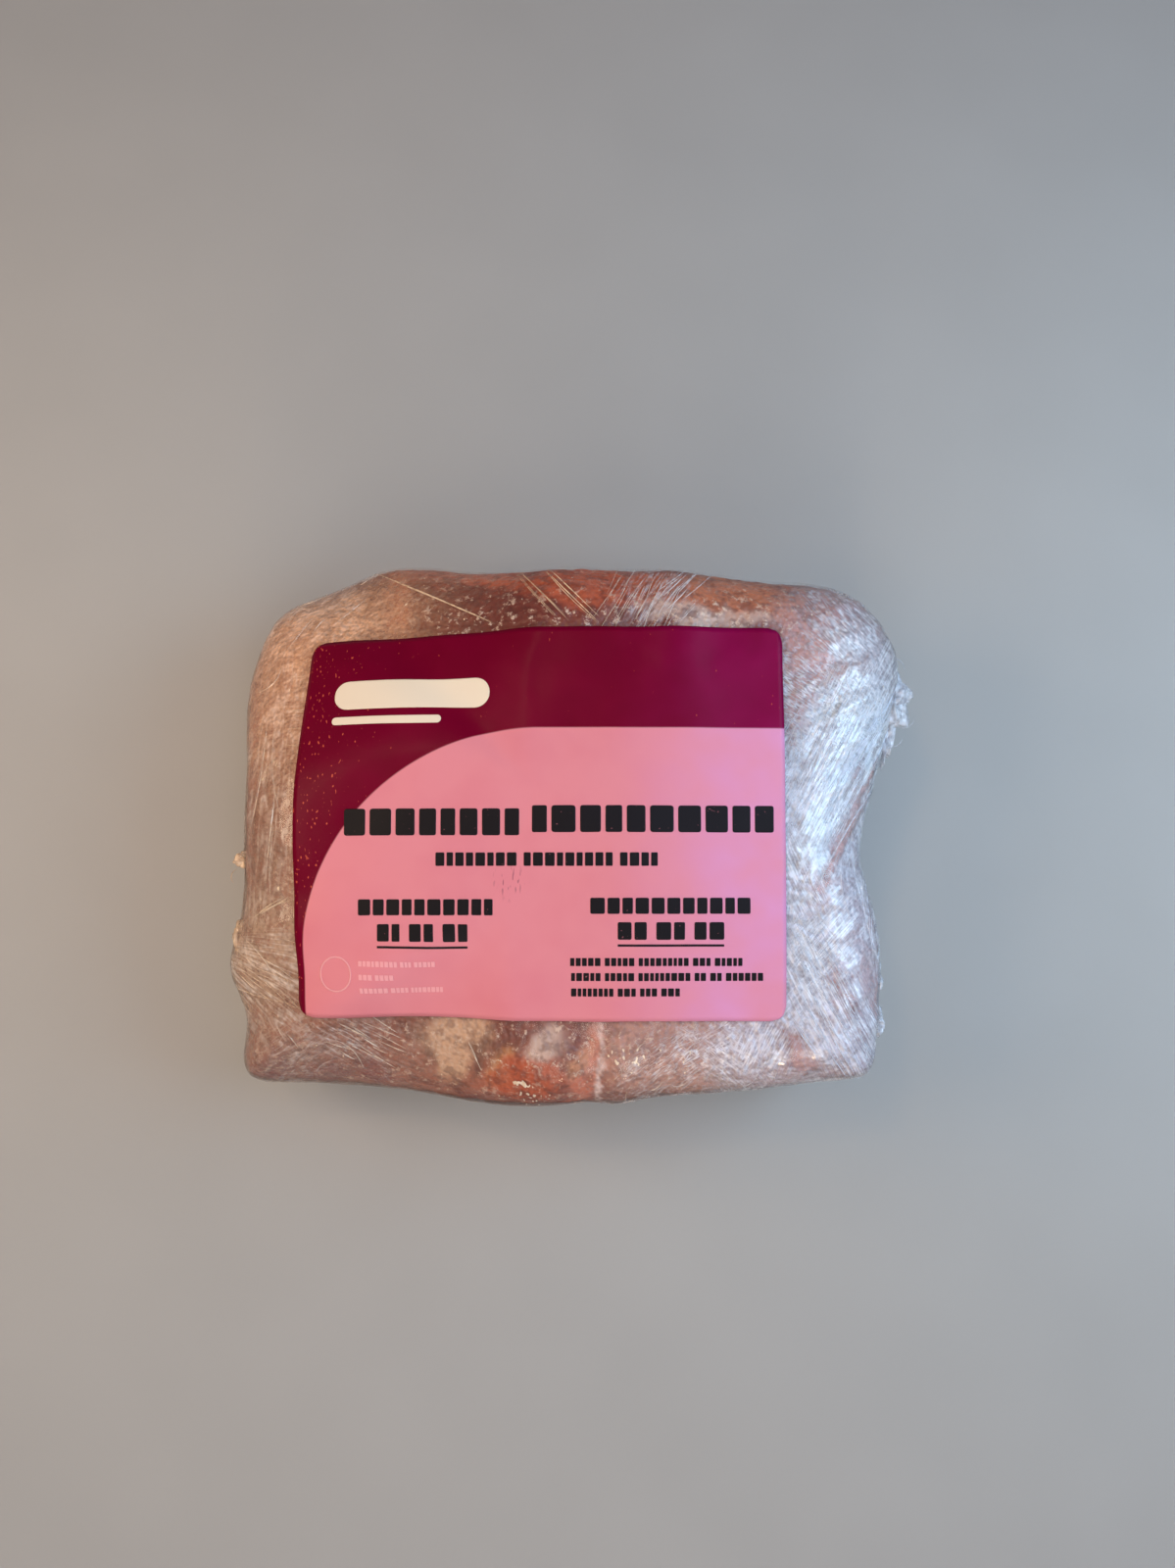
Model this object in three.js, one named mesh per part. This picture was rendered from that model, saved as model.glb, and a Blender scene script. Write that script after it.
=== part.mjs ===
// A frozen block of pork shoulder, wrapped tight in clear stretch film, with a stuck-on paper label.
// The block lies on its flat underside with the labelled face up.
// Millimetres. +X runs to the right along the label's long side, +Y to the back edge, +Z up.
// The origin is the middle of the footprint's box, on the surface that the pack rests on.
import * as THREE from "three";

// The sizes below are measured from the block's core, an upright line through its thickest part.
// How far the block reaches from the core on each side, before the lumps of its outline.
const reach = { right: 66.5, left: 71, back: 57, front: 55.5 };

// Sizes that change round the pack: eight values, a step of 45 degrees apart, starting at +X and
// turning towards +Y. So they read right, back right, back, back left, left, front left, front,
// front right.
const compass = {
  cornerSharpness: [14, 7, 3, 8.3, 14, 10, 12, 14],
  shoulderWidth: [17, 20, 14, 70, 17, 54, 10, 12],
  shoulderDrop: [17, 19, 12, 34, 18, 26, 10, 12],
};

// Lumps and hollows of the outline: where each is centred, how far out it stands and how wide it is.
const outlineLumps = [
  { name: "backRightBulge", x: 65, y: 33, out: 6.3, spread: 10 },
  { name: "backRightDent", x: 45, y: 54, out: -1.4, spread: 8 },
  { name: "backLeftShoulder", x: -38, y: 60, out: 6.2, spread: 11 },
  { name: "backLeftBulge", x: -71, y: 30, out: 2.3, spread: 9 },
  { name: "leftFilmGather", x: -70, y: -28, out: 4, spread: 6 },
  { name: "frontLeftCorner", x: -71, y: -53, out: 5, spread: 6 },
  { name: "frontLeftTip", x: -74.3, y: -57.6, out: 2.1, spread: 3.9 },
  { name: "frontBulge", x: -12, y: -55, out: 2.8, spread: 15 },
  { name: "seamEdge", x: 10, y: -57, out: 0.9, spread: 4 },
  { name: "frontRightHollow", x: 61, y: -60, out: -3.8, spread: 14 },
  { name: "frontRightTip", x: 66.9, y: -56.6, out: 3.4, spread: 3.9 },
  { name: "rightHollow", x: 65, y: -5, out: -4, spread: 9 },
];

// The top face: its height at the core, its slope towards the back and how much it domes.
const top = { height: 54.5, slope: 0.05, dome: 4.5 };
// The wall leans in under the shoulder and turns under with a round foot.
const wall = { undercut: 3, footWidth: 6, footHeight: 6.5 };

// Uneven surface of the frozen meat: a sum of waves, each shorter and lower than the one before.
const relief = {
  waves: 7,
  longest: 46,
  shorten: 0.78,
  lower: 0.8,
  turn: 2.4, // radians from one wave's direction to the next
  tilt: 1.3,
  shift: 1.9,
  topHeight: 0.32,
  wallHeight: 0.75,
  underLabel: 0.4, // share of the relief that is left under the label
};

// Where two muscles meet at the front edge, and the low ridge under the label's back edge.
const seam = { x: 4.5, depth: 1.7, spread: 2.6, fromY: -37, toY: -46 };
const ridge = { x: 23, height: 1.1, spread: 4.5, fromY: 6, toY: 38 };

// The film's gathers on the right: sharp parallel pleats that run slantwise over the shoulder.
const pleats = { wavelength: 7.5, height: 0.8, slant: 0.55, fromX: 47, toX: 60 };

// The paper label, and where its middle sits on the top face.
const label = {
  width: 100,
  height: 80,
  cornerRadius: 3,
  thickness: 0.25,
  gap: 0.4,
  x: -6.2,
  y: 0.5,
  columns: 20,
  rows: 16,
};

// How finely the block is faceted: columns round it, and rows from its top to its underside.
const facets = { columns: 168, topRows: 8, shoulderRows: 8, wallRows: 7, footRows: 3, baseRows: 2 };

const colours = { film: 0xc9a493, paper: 0xe58fa6 };

const fullTurn = 2 * Math.PI;

function easeStep(from, to, value) {
  const t = Math.min(Math.max((value - from) / (to - from), 0), 1);
  return t * t * (3 - 2 * t);
}

function bell(distance, spread) {
  return Math.exp(-(distance * distance) / (2 * spread * spread));
}

// The value of a compass list at any angle, eased from each of its eight values to the next.
function roundCompass(values, angle) {
  const steps = ((angle / fullTurn + 1) % 1) * values.length;
  const first = Math.floor(steps) % values.length;
  const second = (first + 1) % values.length;
  return values[first] + (values[second] - values[first]) * easeStep(0, 1, steps % 1);
}

// Distance from the core to the outline at an angle: a superellipse, plus the named lumps.
function outlineRadius(angle) {
  const cos = Math.cos(angle);
  const sin = Math.sin(angle);
  const across = cos > 0 ? reach.right : reach.left;
  const along = sin > 0 ? reach.back : reach.front;
  const power = roundCompass(compass.cornerSharpness, angle);
  const sum = Math.abs(cos / across) ** power + Math.abs(sin / along) ** power;
  const base = sum ** (-1 / power);
  return outlineLumps.reduce((radius, lump) => {
    const distance = Math.hypot(base * cos - lump.x, base * sin - lump.y);
    return radius + lump.out * bell(distance, lump.spread);
  }, base);
}

// Waves through space, from about -3 to 3.
function waves(x, y, z) {
  let sum = 0;
  let length = relief.longest;
  let height = 1;
  for (let i = 0; i < relief.waves; i++) {
    const rise = Math.sin(i * relief.tilt);
    const flat = Math.sqrt(1 - rise * rise);
    const along = x * flat * Math.cos(i * relief.turn) + y * flat * Math.sin(i * relief.turn) + z * rise;
    sum += height * Math.sin((fullTurn * along) / length + i * relief.shift);
    length *= relief.shorten;
    height *= relief.lower;
  }
  return sum;
}

// How far the film's pleats stand out at a point: a sharp crest and a round trough to each wave.
function pleatHeight(x, y) {
  const crest = 1 - Math.abs(Math.sin((Math.PI * (y - pleats.slant * x)) / pleats.wavelength));
  return pleats.height * crest * easeStep(pleats.fromX, pleats.toX, x);
}

// Height of the top face at a point, from its middle out over the shoulder to the outline.
function topHeight(x, y) {
  const angle = Math.atan2(y, x);
  const width = roundCompass(compass.shoulderWidth, angle);
  const drop = roundCompass(compass.shoulderDrop, angle);
  const inset = Math.max(outlineRadius(angle) - Math.hypot(x, y), 0);
  const outward = Math.max(1 - inset / width, 0); // 0 on the flat, 1 at the outline
  const fall = drop * (1 - Math.sqrt(1 - outward * outward));

  const dome = top.dome * (1 - (x / reach.left) ** 2) * (1 - (y / reach.back) ** 2);
  const edge = easeStep(30, 6, inset);
  const share = relief.underLabel + (1 - relief.underLabel) * edge;
  const bumps = relief.topHeight * share * waves(x, y, top.height);
  const groove = seam.depth * bell(x - seam.x, seam.spread) * easeStep(seam.fromY, seam.toY, y);
  const rise = ridge.height * bell(x - ridge.x, ridge.spread) * easeStep(ridge.fromY, ridge.toY, y);
  return top.height + top.slope * y + dome + bumps + pleatHeight(x, y) + rise - groove - fall;
}

// Distance from the core to the wall at an angle and height. It meets the outline at the shoulder.
function wallRadius(angle, z, shoulderZ) {
  const down = 1 - z / shoulderZ; // 0 at the shoulder, 1 at the base
  const outline = outlineRadius(angle);
  const x = outline * Math.cos(angle);
  const y = outline * Math.sin(angle);
  const bumps = relief.wallHeight * waves(x, y, z) * easeStep(0, 0.35, down);
  const groove = y < 0 ? seam.depth * bell(x - seam.x, seam.spread) : 0;
  const folds = bumps - groove * easeStep(0, 0.1, down);
  return outline - wall.undercut * down * down + folds + pleatHeight(x, y + z) * easeStep(0, 0.2, down);
}

// A point of the block's skin at an angle, for a row of one zone. t runs from 0 to 1 in each zone.
function skinPoint(angle, zone, t) {
  const outline = outlineRadius(angle);
  const width = roundCompass(compass.shoulderWidth, angle);
  const shoulderZ = topHeight(outline * Math.cos(angle), outline * Math.sin(angle));
  const quarter = (t * Math.PI) / 2;
  const footTop = wallRadius(angle, wall.footHeight, shoulderZ);
  let radius;
  let z;
  if (zone === "top" || zone === "shoulder") {
    radius = zone === "top" ? (outline - width) * t : outline - width * (1 - Math.sin(quarter));
    z = topHeight(radius * Math.cos(angle), radius * Math.sin(angle));
  } else if (zone === "wall") {
    z = shoulderZ + (wall.footHeight - shoulderZ) * t;
    radius = wallRadius(angle, z, shoulderZ);
  } else if (zone === "foot") {
    z = wall.footHeight * (1 - Math.sin(quarter));
    radius = footTop - wall.footWidth * (1 - Math.cos(quarter));
  } else {
    z = 0;
    radius = (footTop - wall.footWidth) * (1 - t);
  }
  return [radius * Math.cos(angle), radius * Math.sin(angle), z];
}

// The angles that split the outline into columns of equal length.
function evenAngles(columns) {
  const samples = 3600;
  const travelled = [0];
  let before = null;
  for (let i = 0; i <= samples; i++) {
    const angle = (i / samples) * fullTurn;
    const radius = outlineRadius(angle);
    const here = [radius * Math.cos(angle), radius * Math.sin(angle)];
    if (before) travelled.push(travelled[i - 1] + Math.hypot(here[0] - before[0], here[1] - before[1]));
    before = here;
  }
  const angles = [];
  let sample = 0;
  for (let column = 0; column < columns; column++) {
    const wanted = (column / columns) * travelled[samples];
    while (travelled[sample + 1] < wanted) sample++;
    const part = (wanted - travelled[sample]) / (travelled[sample + 1] - travelled[sample]);
    angles.push(((sample + part) / samples) * fullTurn);
  }
  return angles;
}

function geometryOf(points, triangles) {
  const geometry = new THREE.BufferGeometry();
  geometry.setAttribute("position", new THREE.Float32BufferAttribute(points.flat(), 3));
  geometry.setIndex(triangles);
  geometry.computeVertexNormals();
  return geometry;
}

// The wrapped block: one closed skin of rings, with a pole in its top and one in its underside.
function blockGeometry() {
  const zones = [
    ["top", facets.topRows],
    ["shoulder", facets.shoulderRows],
    ["wall", facets.wallRows],
    ["foot", facets.footRows],
    ["base", facets.baseRows],
  ];
  const rows = zones.flatMap(([zone, count]) =>
    Array.from({ length: count }, (_, i) => [zone, (i + 1) / count]),
  );
  rows.pop(); // the base's last row is its pole
  const angles = evenAngles(facets.columns);
  const points = rows.flatMap(([zone, t]) => angles.map((angle) => skinPoint(angle, zone, t)));
  const topPole = points.push([0, 0, topHeight(0, 0)]) - 1;
  const basePole = points.push([0, 0, 0]) - 1;

  const triangles = [];
  const at = (row, column) => row * facets.columns + (column % facets.columns);
  for (let column = 0; column < facets.columns; column++) {
    triangles.push(topPole, at(0, column), at(0, column + 1));
    for (let row = 0; row < rows.length - 1; row++) {
      triangles.push(at(row, column), at(row + 1, column), at(row + 1, column + 1));
      triangles.push(at(row, column), at(row + 1, column + 1), at(row, column + 1));
    }
    const last = rows.length - 1;
    triangles.push(at(last, column), basePole, at(last, column + 1));
  }
  return geometryOf(points, triangles);
}

// Slopes of the top face at a point, towards +X and +Y.
function slopes(x, y) {
  const near = 0.2;
  return [
    (topHeight(x + near, y) - topHeight(x - near, y)) / (2 * near),
    (topHeight(x, y + near) - topHeight(x, y - near)) / (2 * near),
  ];
}

// Where a point of the flat label lands: walk from the label's middle straight towards it, keeping
// the paper's length where the face slopes away, then stand off the face by a lift.
function pressOn(across, along, lift) {
  const distance = Math.hypot(across, along);
  const steps = Math.max(Math.ceil(distance), 1);
  const way = distance ? [across / distance, along / distance] : [1, 0];
  let x = label.x;
  let y = label.y;
  for (let i = 0; i < steps; i++) {
    const [dx, dy] = slopes(x, y);
    const climb = dx * way[0] + dy * way[1];
    const step = distance / steps / Math.sqrt(1 + climb * climb);
    x += way[0] * step;
    y += way[1] * step;
  }
  const [dx, dy] = slopes(x, y);
  const normal = new THREE.Vector3(-dx, -dy, 1).normalize();
  return [x + normal.x * lift, y + normal.y * lift, topHeight(x, y) + normal.z * lift];
}

// Grid lines across one side of the label: close together at its rounded corners, even between.
function gridLines(size, count) {
  const half = size / 2;
  const margins = [0, label.cornerRadius * 0.3, label.cornerRadius];
  const inner = half - label.cornerRadius;
  const lines = margins.slice(0, -1).map((margin) => margin - half);
  for (let i = 0; i <= count; i++) lines.push(-inner + (2 * inner * i) / count);
  return lines.concat(margins.slice(0, -1).reverse().map((margin) => half - margin));
}

// A point of the label's grid, pulled in onto the arc where it lies outside a rounded corner.
function roundedCorner(across, along) {
  const inX = label.width / 2 - label.cornerRadius;
  const inY = label.height / 2 - label.cornerRadius;
  const overX = Math.max(Math.abs(across) - inX, 0);
  const overY = Math.max(Math.abs(along) - inY, 0);
  const over = Math.hypot(overX, overY);
  if (over <= label.cornerRadius) return [across, along];
  const pull = label.cornerRadius / over;
  return [Math.sign(across) * (inX + overX * pull), Math.sign(along) * (inY + overY * pull)];
}

// The label: a thin sheet that follows the top face, with both faces split into triangles alike.
function labelGeometry() {
  const acrossLines = gridLines(label.width, label.columns);
  const alongLines = gridLines(label.height, label.rows);
  const wide = acrossLines.length;
  const layer = wide * alongLines.length;
  const points = [label.gap, label.gap + label.thickness].flatMap((lift) =>
    alongLines.flatMap((along) =>
      acrossLines.map((across) => pressOn(...roundedCorner(across, along), lift)),
    ),
  );

  const triangles = [];
  for (let row = 0; row < alongLines.length - 1; row++) {
    for (let column = 0; column < wide - 1; column++) {
      const a = row * wide + column;
      const [b, c, d] = [a + 1, a + 1 + wide, a + wide];
      triangles.push(a, c, b, a, d, c);
      triangles.push(a + layer, b + layer, c + layer, a + layer, c + layer, d + layer);
    }
  }
  const rim = [];
  for (let column = 0; column < wide - 1; column++) rim.push(column);
  for (let row = 0; row < alongLines.length - 1; row++) rim.push(row * wide + wide - 1);
  for (let column = wide - 1; column > 0; column--) rim.push(layer - wide + column);
  for (let row = alongLines.length - 1; row > 0; row--) rim.push(row * wide);
  rim.forEach((from, i) => {
    const to = rim[(i + 1) % rim.length];
    triangles.push(from, to, to + layer, from, to + layer, from + layer);
  });
  return geometryOf(points, triangles);
}

function pieceOf(name, geometry, material) {
  const mesh = new THREE.Mesh(geometry, new THREE.MeshStandardMaterial(material));
  mesh.name = name;
  return mesh;
}

const pack = new THREE.Group();
pack.add(
  pieceOf("wrapped_block", blockGeometry(), { color: colours.film, roughness: 0.35, metalness: 0 }),
  pieceOf("label", labelGeometry(), { color: colours.paper, roughness: 0.4, metalness: 0 }),
);

// The whole pack moves from its core onto the middle of the box round it.
const box = new THREE.Box3().setFromObject(pack);
pack.position.set(-(box.min.x + box.max.x) / 2, -(box.min.y + box.max.y) / 2, 0);

export default pack;
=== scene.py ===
import bpy
import numpy as np
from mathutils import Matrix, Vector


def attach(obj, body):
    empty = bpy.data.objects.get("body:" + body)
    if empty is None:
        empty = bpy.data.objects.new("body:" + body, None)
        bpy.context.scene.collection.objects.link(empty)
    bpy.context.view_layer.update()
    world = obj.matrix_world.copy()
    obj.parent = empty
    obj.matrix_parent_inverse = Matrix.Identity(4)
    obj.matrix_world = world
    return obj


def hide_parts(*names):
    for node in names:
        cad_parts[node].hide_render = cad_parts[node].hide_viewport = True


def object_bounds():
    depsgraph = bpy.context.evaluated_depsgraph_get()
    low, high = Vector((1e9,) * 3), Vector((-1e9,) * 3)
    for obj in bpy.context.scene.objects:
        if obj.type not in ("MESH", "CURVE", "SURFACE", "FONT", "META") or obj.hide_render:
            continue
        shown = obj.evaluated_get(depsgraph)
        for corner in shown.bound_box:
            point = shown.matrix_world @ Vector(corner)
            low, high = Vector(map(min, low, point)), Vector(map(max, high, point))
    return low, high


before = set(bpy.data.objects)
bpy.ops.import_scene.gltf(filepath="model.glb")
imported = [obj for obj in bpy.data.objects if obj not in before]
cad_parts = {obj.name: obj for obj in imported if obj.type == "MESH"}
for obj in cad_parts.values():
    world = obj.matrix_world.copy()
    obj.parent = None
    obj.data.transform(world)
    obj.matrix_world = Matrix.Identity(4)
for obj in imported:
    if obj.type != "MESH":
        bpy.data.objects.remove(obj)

# A frozen block of pork shoulder in clear stretch film, with a stuck-on label. The shapes are worked
# out in millimetres from the block's core, and stand in the frame in metres.
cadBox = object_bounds()
mm = 0.001
fullTurn = 2 * np.pi
print("frame loaded, box", [list(corner) for corner in cadBox])


# ---- the block's form, as its solid has it

block = {
    "reach": {"right": 66.5, "left": 71, "back": 57, "front": 55.5},
    # eight values, a step of 45 degrees apart: right, back right, back, back left, left and so on
    "cornerSharpness": [14, 7, 3, 8.3, 14, 10, 12, 14],
    "shoulderWidth": [17, 20, 14, 70, 17, 54, 10, 12],
    "shoulderDrop": [17, 19, 12, 34, 18, 26, 10, 12],
    # lumps of the outline: place, how far out, how wide
    "lumps": [
        {"x": 65, "y": 33, "out": 6.3, "spread": 10},
        {"x": 45, "y": 54, "out": -1.4, "spread": 8},
        {"x": -38, "y": 60, "out": 6.2, "spread": 11},
        {"x": -71, "y": 30, "out": 2.3, "spread": 9},
        {"x": -70, "y": -28, "out": 4, "spread": 6},
        {"x": -71, "y": -53, "out": 5, "spread": 6},
        {"x": -74.3, "y": -57.6, "out": 2.1, "spread": 3.9},
        {"x": -12, "y": -55, "out": 2.8, "spread": 15},
        {"x": 10, "y": -57, "out": 0.9, "spread": 4},
        {"x": 61, "y": -60, "out": -3.8, "spread": 14},
        {"x": 66.9, "y": -56.6, "out": 3.4, "spread": 3.9},
        {"x": 65, "y": -5, "out": -4, "spread": 9},
    ],
    "top": {"height": 54.5, "slope": 0.05, "dome": 4.5},
    "wall": {"undercut": 3, "footWidth": 6, "footHeight": 6.5},
    "seam": {"x": 4.5, "depth": 1.7, "spread": 2.6, "fromY": -37, "toY": -46},
    "ridge": {"x": 23, "height": 1.1, "spread": 4.5, "fromY": 6, "toY": 38},
    "pleats": {"wavelength": 7.5, "height": 0.8, "slant": 0.55, "fromX": 47, "toX": 60},
}
relief = {
    "waves": 7, "longest": 46, "shorten": 0.78, "lower": 0.8, "turn": 2.4, "tilt": 1.3, "shift": 1.9,
    "topHeight": 0.32, "wallHeight": 0.75, "underLabel": 0.4,
}


def easeStep(start, end, value):  # 0 before start, 1 after end, 3t^2 - 2t^3 between
    t = np.clip((value - start) / (end - start), 0, 1)
    return t * t * (3 - 2 * t)


def bell(distance, spread):  # e to the power of minus distance squared over twice spread squared
    return np.exp(-(distance * distance) / (2 * spread * spread))


def roundCompass(values, angle):  # eases from each value to the next as the angle goes round
    values = np.asarray(values, float)
    steps = (angle / fullTurn) % 1 * len(values)
    first = np.floor(steps).astype(int) % len(values)
    second = (first + 1) % len(values)
    return values[first] + (values[second] - values[first]) * easeStep(0, 1, steps % 1)


def outlineRadius(angle):  # a superellipse with its own reach in each quarter, plus bell-shaped lumps
    cos, sin, reach = np.cos(angle), np.sin(angle), block["reach"]
    across = np.where(cos > 0, reach["right"], reach["left"])
    along = np.where(sin > 0, reach["back"], reach["front"])
    power = roundCompass(block["cornerSharpness"], angle)
    base = (np.abs(cos / across) ** power + np.abs(sin / along) ** power) ** (-1 / power)
    radius = base.copy()
    for lump in block["lumps"]:
        away = np.hypot(base * cos - lump["x"], base * sin - lump["y"])
        radius += lump["out"] * bell(away, lump["spread"])
    return radius


def waves(x, y, z):  # a sum of sines in seven headings, each shorter and lower than the last
    total, length, height = 0, relief["longest"], 1
    for i in range(relief["waves"]):
        rise = np.sin(i * relief["tilt"])
        flat = np.sqrt(1 - rise * rise)
        along = x * flat * np.cos(i * relief["turn"]) + y * flat * np.sin(i * relief["turn"]) + z * rise
        total = total + height * np.sin(fullTurn * along / length + i * relief["shift"])
        length *= relief["shorten"]
        height *= relief["lower"]
    return total


def pleatHeight(x, y):  # one minus the absolute sine across the pleats: sharp crests, round troughs
    pleats = block["pleats"]
    crest = 1 - np.abs(np.sin(np.pi * (y - pleats["slant"] * x) / pleats["wavelength"]))
    return pleats["height"] * crest * easeStep(pleats["fromX"], pleats["toX"], x)


def topHeight(x, y):  # a sloping dome, less an elliptic fall over the shoulder, plus the relief
    angle, top, reach = np.arctan2(y, x), block["top"], block["reach"]
    width = roundCompass(block["shoulderWidth"], angle)
    inset = np.maximum(outlineRadius(angle) - np.hypot(x, y), 0)
    outward = np.maximum(1 - inset / width, 0)
    fall = roundCompass(block["shoulderDrop"], angle) * (1 - np.sqrt(1 - outward * outward))
    dome = top["dome"] * (1 - (x / reach["left"]) ** 2) * (1 - (y / reach["back"]) ** 2)
    share = relief["underLabel"] + (1 - relief["underLabel"]) * easeStep(30, 6, inset)
    bumps = relief["topHeight"] * share * waves(x, y, top["height"])
    seam, ridge = block["seam"], block["ridge"]
    groove = seam["depth"] * bell(x - seam["x"], seam["spread"]) * easeStep(seam["fromY"], seam["toY"], y)
    rise = ridge["height"] * bell(x - ridge["x"], ridge["spread"]) * easeStep(ridge["fromY"], ridge["toY"], y)
    return top["height"] + top["slope"] * y + dome + bumps + pleatHeight(x, y) + rise - groove - fall


def wallRadius(angle, z, shoulderZ):  # the outline, less a square of the way down, plus the relief
    down, outline = 1 - z / shoulderZ, outlineRadius(angle)
    x, y, seam = outline * np.cos(angle), outline * np.sin(angle), block["seam"]
    bumps = relief["wallHeight"] * waves(x, y, z) * easeStep(0, 0.35, down)
    groove = np.where(y < 0, seam["depth"] * bell(x - seam["x"], seam["spread"]), 0)
    folds = bumps - groove * easeStep(0, 0.1, down) + pleatHeight(x, y + z) * easeStep(0, 0.2, down)
    return outline - block["wall"]["undercut"] * down * down + folds


def evenAngles(columns):  # the angles that cut the outline into columns of equal length
    angle = np.linspace(0, fullTurn, 3601)
    x, y = outlineRadius(angle) * np.cos(angle), outlineRadius(angle) * np.sin(angle)
    travelled = np.concatenate([[0], np.cumsum(np.hypot(np.diff(x), np.diff(y)))])
    return np.interp(np.arange(columns) / columns * travelled[-1], travelled, angle)


def skinGrid(angle, rows):
    # Points of the skin, a row of the grid for each step from the middle of the top, over the shoulder,
    # down the wall and round the foot to the middle of the underside, and a column for each angle.
    # Shoulder and foot are quarter ellipses. The top's rows crowd towards its edge by a square.
    outline, width = outlineRadius(angle), roundCompass(block["shoulderWidth"], angle)
    cos, sin, wall = np.cos(angle), np.sin(angle), block["wall"]
    t = {zone: (np.arange(count) + 1)[:, None] / count for zone, count in rows.items()}
    inner = (outline - width) * (1 - (1 - t["top"]) ** 2)
    outer = outline - width * (1 - np.sin(t["shoulder"] * np.pi / 2))
    upper = np.concatenate([inner, outer])
    upperZ = topHeight(upper * cos, upper * sin)
    shoulderZ = upperZ[-1]
    wallZ = shoulderZ + (wall["footHeight"] - shoulderZ) * t["wall"]
    footTop = wallRadius(angle, wall["footHeight"], shoulderZ)
    foot = footTop - wall["footWidth"] * (1 - np.cos(t["foot"] * np.pi / 2))
    footZ = wall["footHeight"] * (1 - np.sin(t["foot"] * np.pi / 2)) + 0 * angle
    base = (footTop - wall["footWidth"]) * (1 - t["base"][:-1])
    radius = np.concatenate([upper, wallRadius(angle, wallZ, shoulderZ), foot, base])
    z = np.concatenate([upperZ, wallZ, footZ, 0 * base])
    return np.stack([radius * cos, radius * sin, z], -1)


def gridNormals(points):  # the cross product of the steps down the rows and round the columns
    down = np.gradient(points, axis=0)
    around = np.roll(points, -1, axis=1) - np.roll(points, 1, axis=1)
    normal = np.cross(down, around)
    return normal / np.maximum(np.linalg.norm(normal, axis=-1, keepdims=True), 1e-9)


# ---- noise and meshes

noiseTable = np.random.default_rng(11).uniform(-1, 1, (48, 48, 48))


def cloud(points, size, octaves=3, shift=0.0):
    # Value noise, about -1 to 1: the table's values at the eight corners of a point's cell, blended
    # with eased weights. Each octave has half the size and half the height of the one before.
    total, height, heights = 0, 1, 0
    for octave in range(octaves):
        cell = points / size + shift + 13.7 * octave
        low = np.floor(cell).astype(int)
        part = easeStep(0, 1, cell - low)
        for corner in np.ndindex(2, 2, 2):
            at = (low + corner) % len(noiseTable)
            weight = np.prod(np.where(corner, part, 1 - part), axis=-1)
            total = total + height * weight * noiseTable[at[..., 0], at[..., 1], at[..., 2]]
        heights += height
        size, height = size / 2, height / 2
    return 1.5 * total / heights


def corePlace():
    # Where the core stands in the frame: the middle of the CAD box less the middle of the skin's own.
    skin = skinGrid(evenAngles(720), {"top": 4, "shoulder": 12, "wall": 20, "foot": 2, "base": 1})[..., :2]
    low, high = skin.min(axis=(0, 1)), skin.max(axis=(0, 1))
    boxMiddle = (np.array(cadBox[0]) + np.array(cadBox[1]))[:2] / 2 / mm
    return boxMiddle - (low + high) / 2


core = corePlace()
print("core stands at", core.round(2), "mm")


def volume(points, faces):
    # In millilitres: a sixth of each triangle's corners' triple product, summed. It is more than
    # nothing where the faces look outward.
    total = 0
    for group in faces:
        for last in range(2, group.shape[1]):
            a, b, c = points[group[:, 0]], points[group[:, last - 1]], points[group[:, last]]
            total += np.sum(np.cross(a, b) * c) / 6
    return total * 1e6


def addMesh(name, points, faces, material, smooth=True, attributes=None):
    # points in millimetres from the core go into the mesh in metres in the frame
    mesh = bpy.data.meshes.new(name)
    points = (points.reshape(-1, 3) + [*core, 0]) * mm
    mesh.vertices.add(len(points))
    mesh.vertices.foreach_set("co", points.astype(np.float32).ravel())
    sizes = np.concatenate([np.full(len(group), group.shape[1]) for group in faces])
    corners = np.concatenate([group.ravel() for group in faces])
    mesh.loops.add(len(corners))
    mesh.loops.foreach_set("vertex_index", corners.astype(np.int32))
    mesh.polygons.add(len(sizes))
    mesh.polygons.foreach_set("loop_start", (np.cumsum(sizes) - sizes).astype(np.int32))
    mesh.update(calc_edges=True)
    mesh.polygons.foreach_set("use_smooth", np.full(len(sizes), smooth))
    for key, values in (attributes or {}).items():
        values = np.asarray(values, np.float32)
        kind, field = ("FLOAT", "value") if values.ndim == 1 else ("FLOAT_VECTOR", "vector")
        mesh.attributes.new(key, kind, "POINT").data.foreach_set(field, values.ravel())
    mesh.validate()
    mesh.materials.append(material)
    piece = bpy.data.objects.new(name, mesh)
    bpy.context.scene.collection.objects.link(piece)
    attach(piece, "root")
    print(f"{name}: {len(points)} points, {int((sizes - 2).sum())} triangles, {volume(points, faces):.3f} ml")
    return piece


def closedSkin(points):
    # Faces of a skin grid with a pole point at each end: quads between rows, a fan at each pole.
    rows, columns = points.shape[:2]
    column = np.arange(columns)
    after = (column + 1) % columns
    row = np.arange(rows - 1)[:, None] * columns
    quads = np.stack([row + column, row + columns + column, row + columns + after, row + after], -1)
    topPole, basePole = rows * columns, rows * columns + 1
    last = (rows - 1) * columns
    fans = np.concatenate([
        np.stack([np.full(columns, topPole), column, after], -1),
        np.stack([last + column, np.full(columns, basePole), last + after], -1),
    ])
    middle = points.mean(axis=1)
    return np.concatenate([points.reshape(-1, 3), middle[:1], middle[-1:]]), [quads.reshape(-1, 4), fans]


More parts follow.
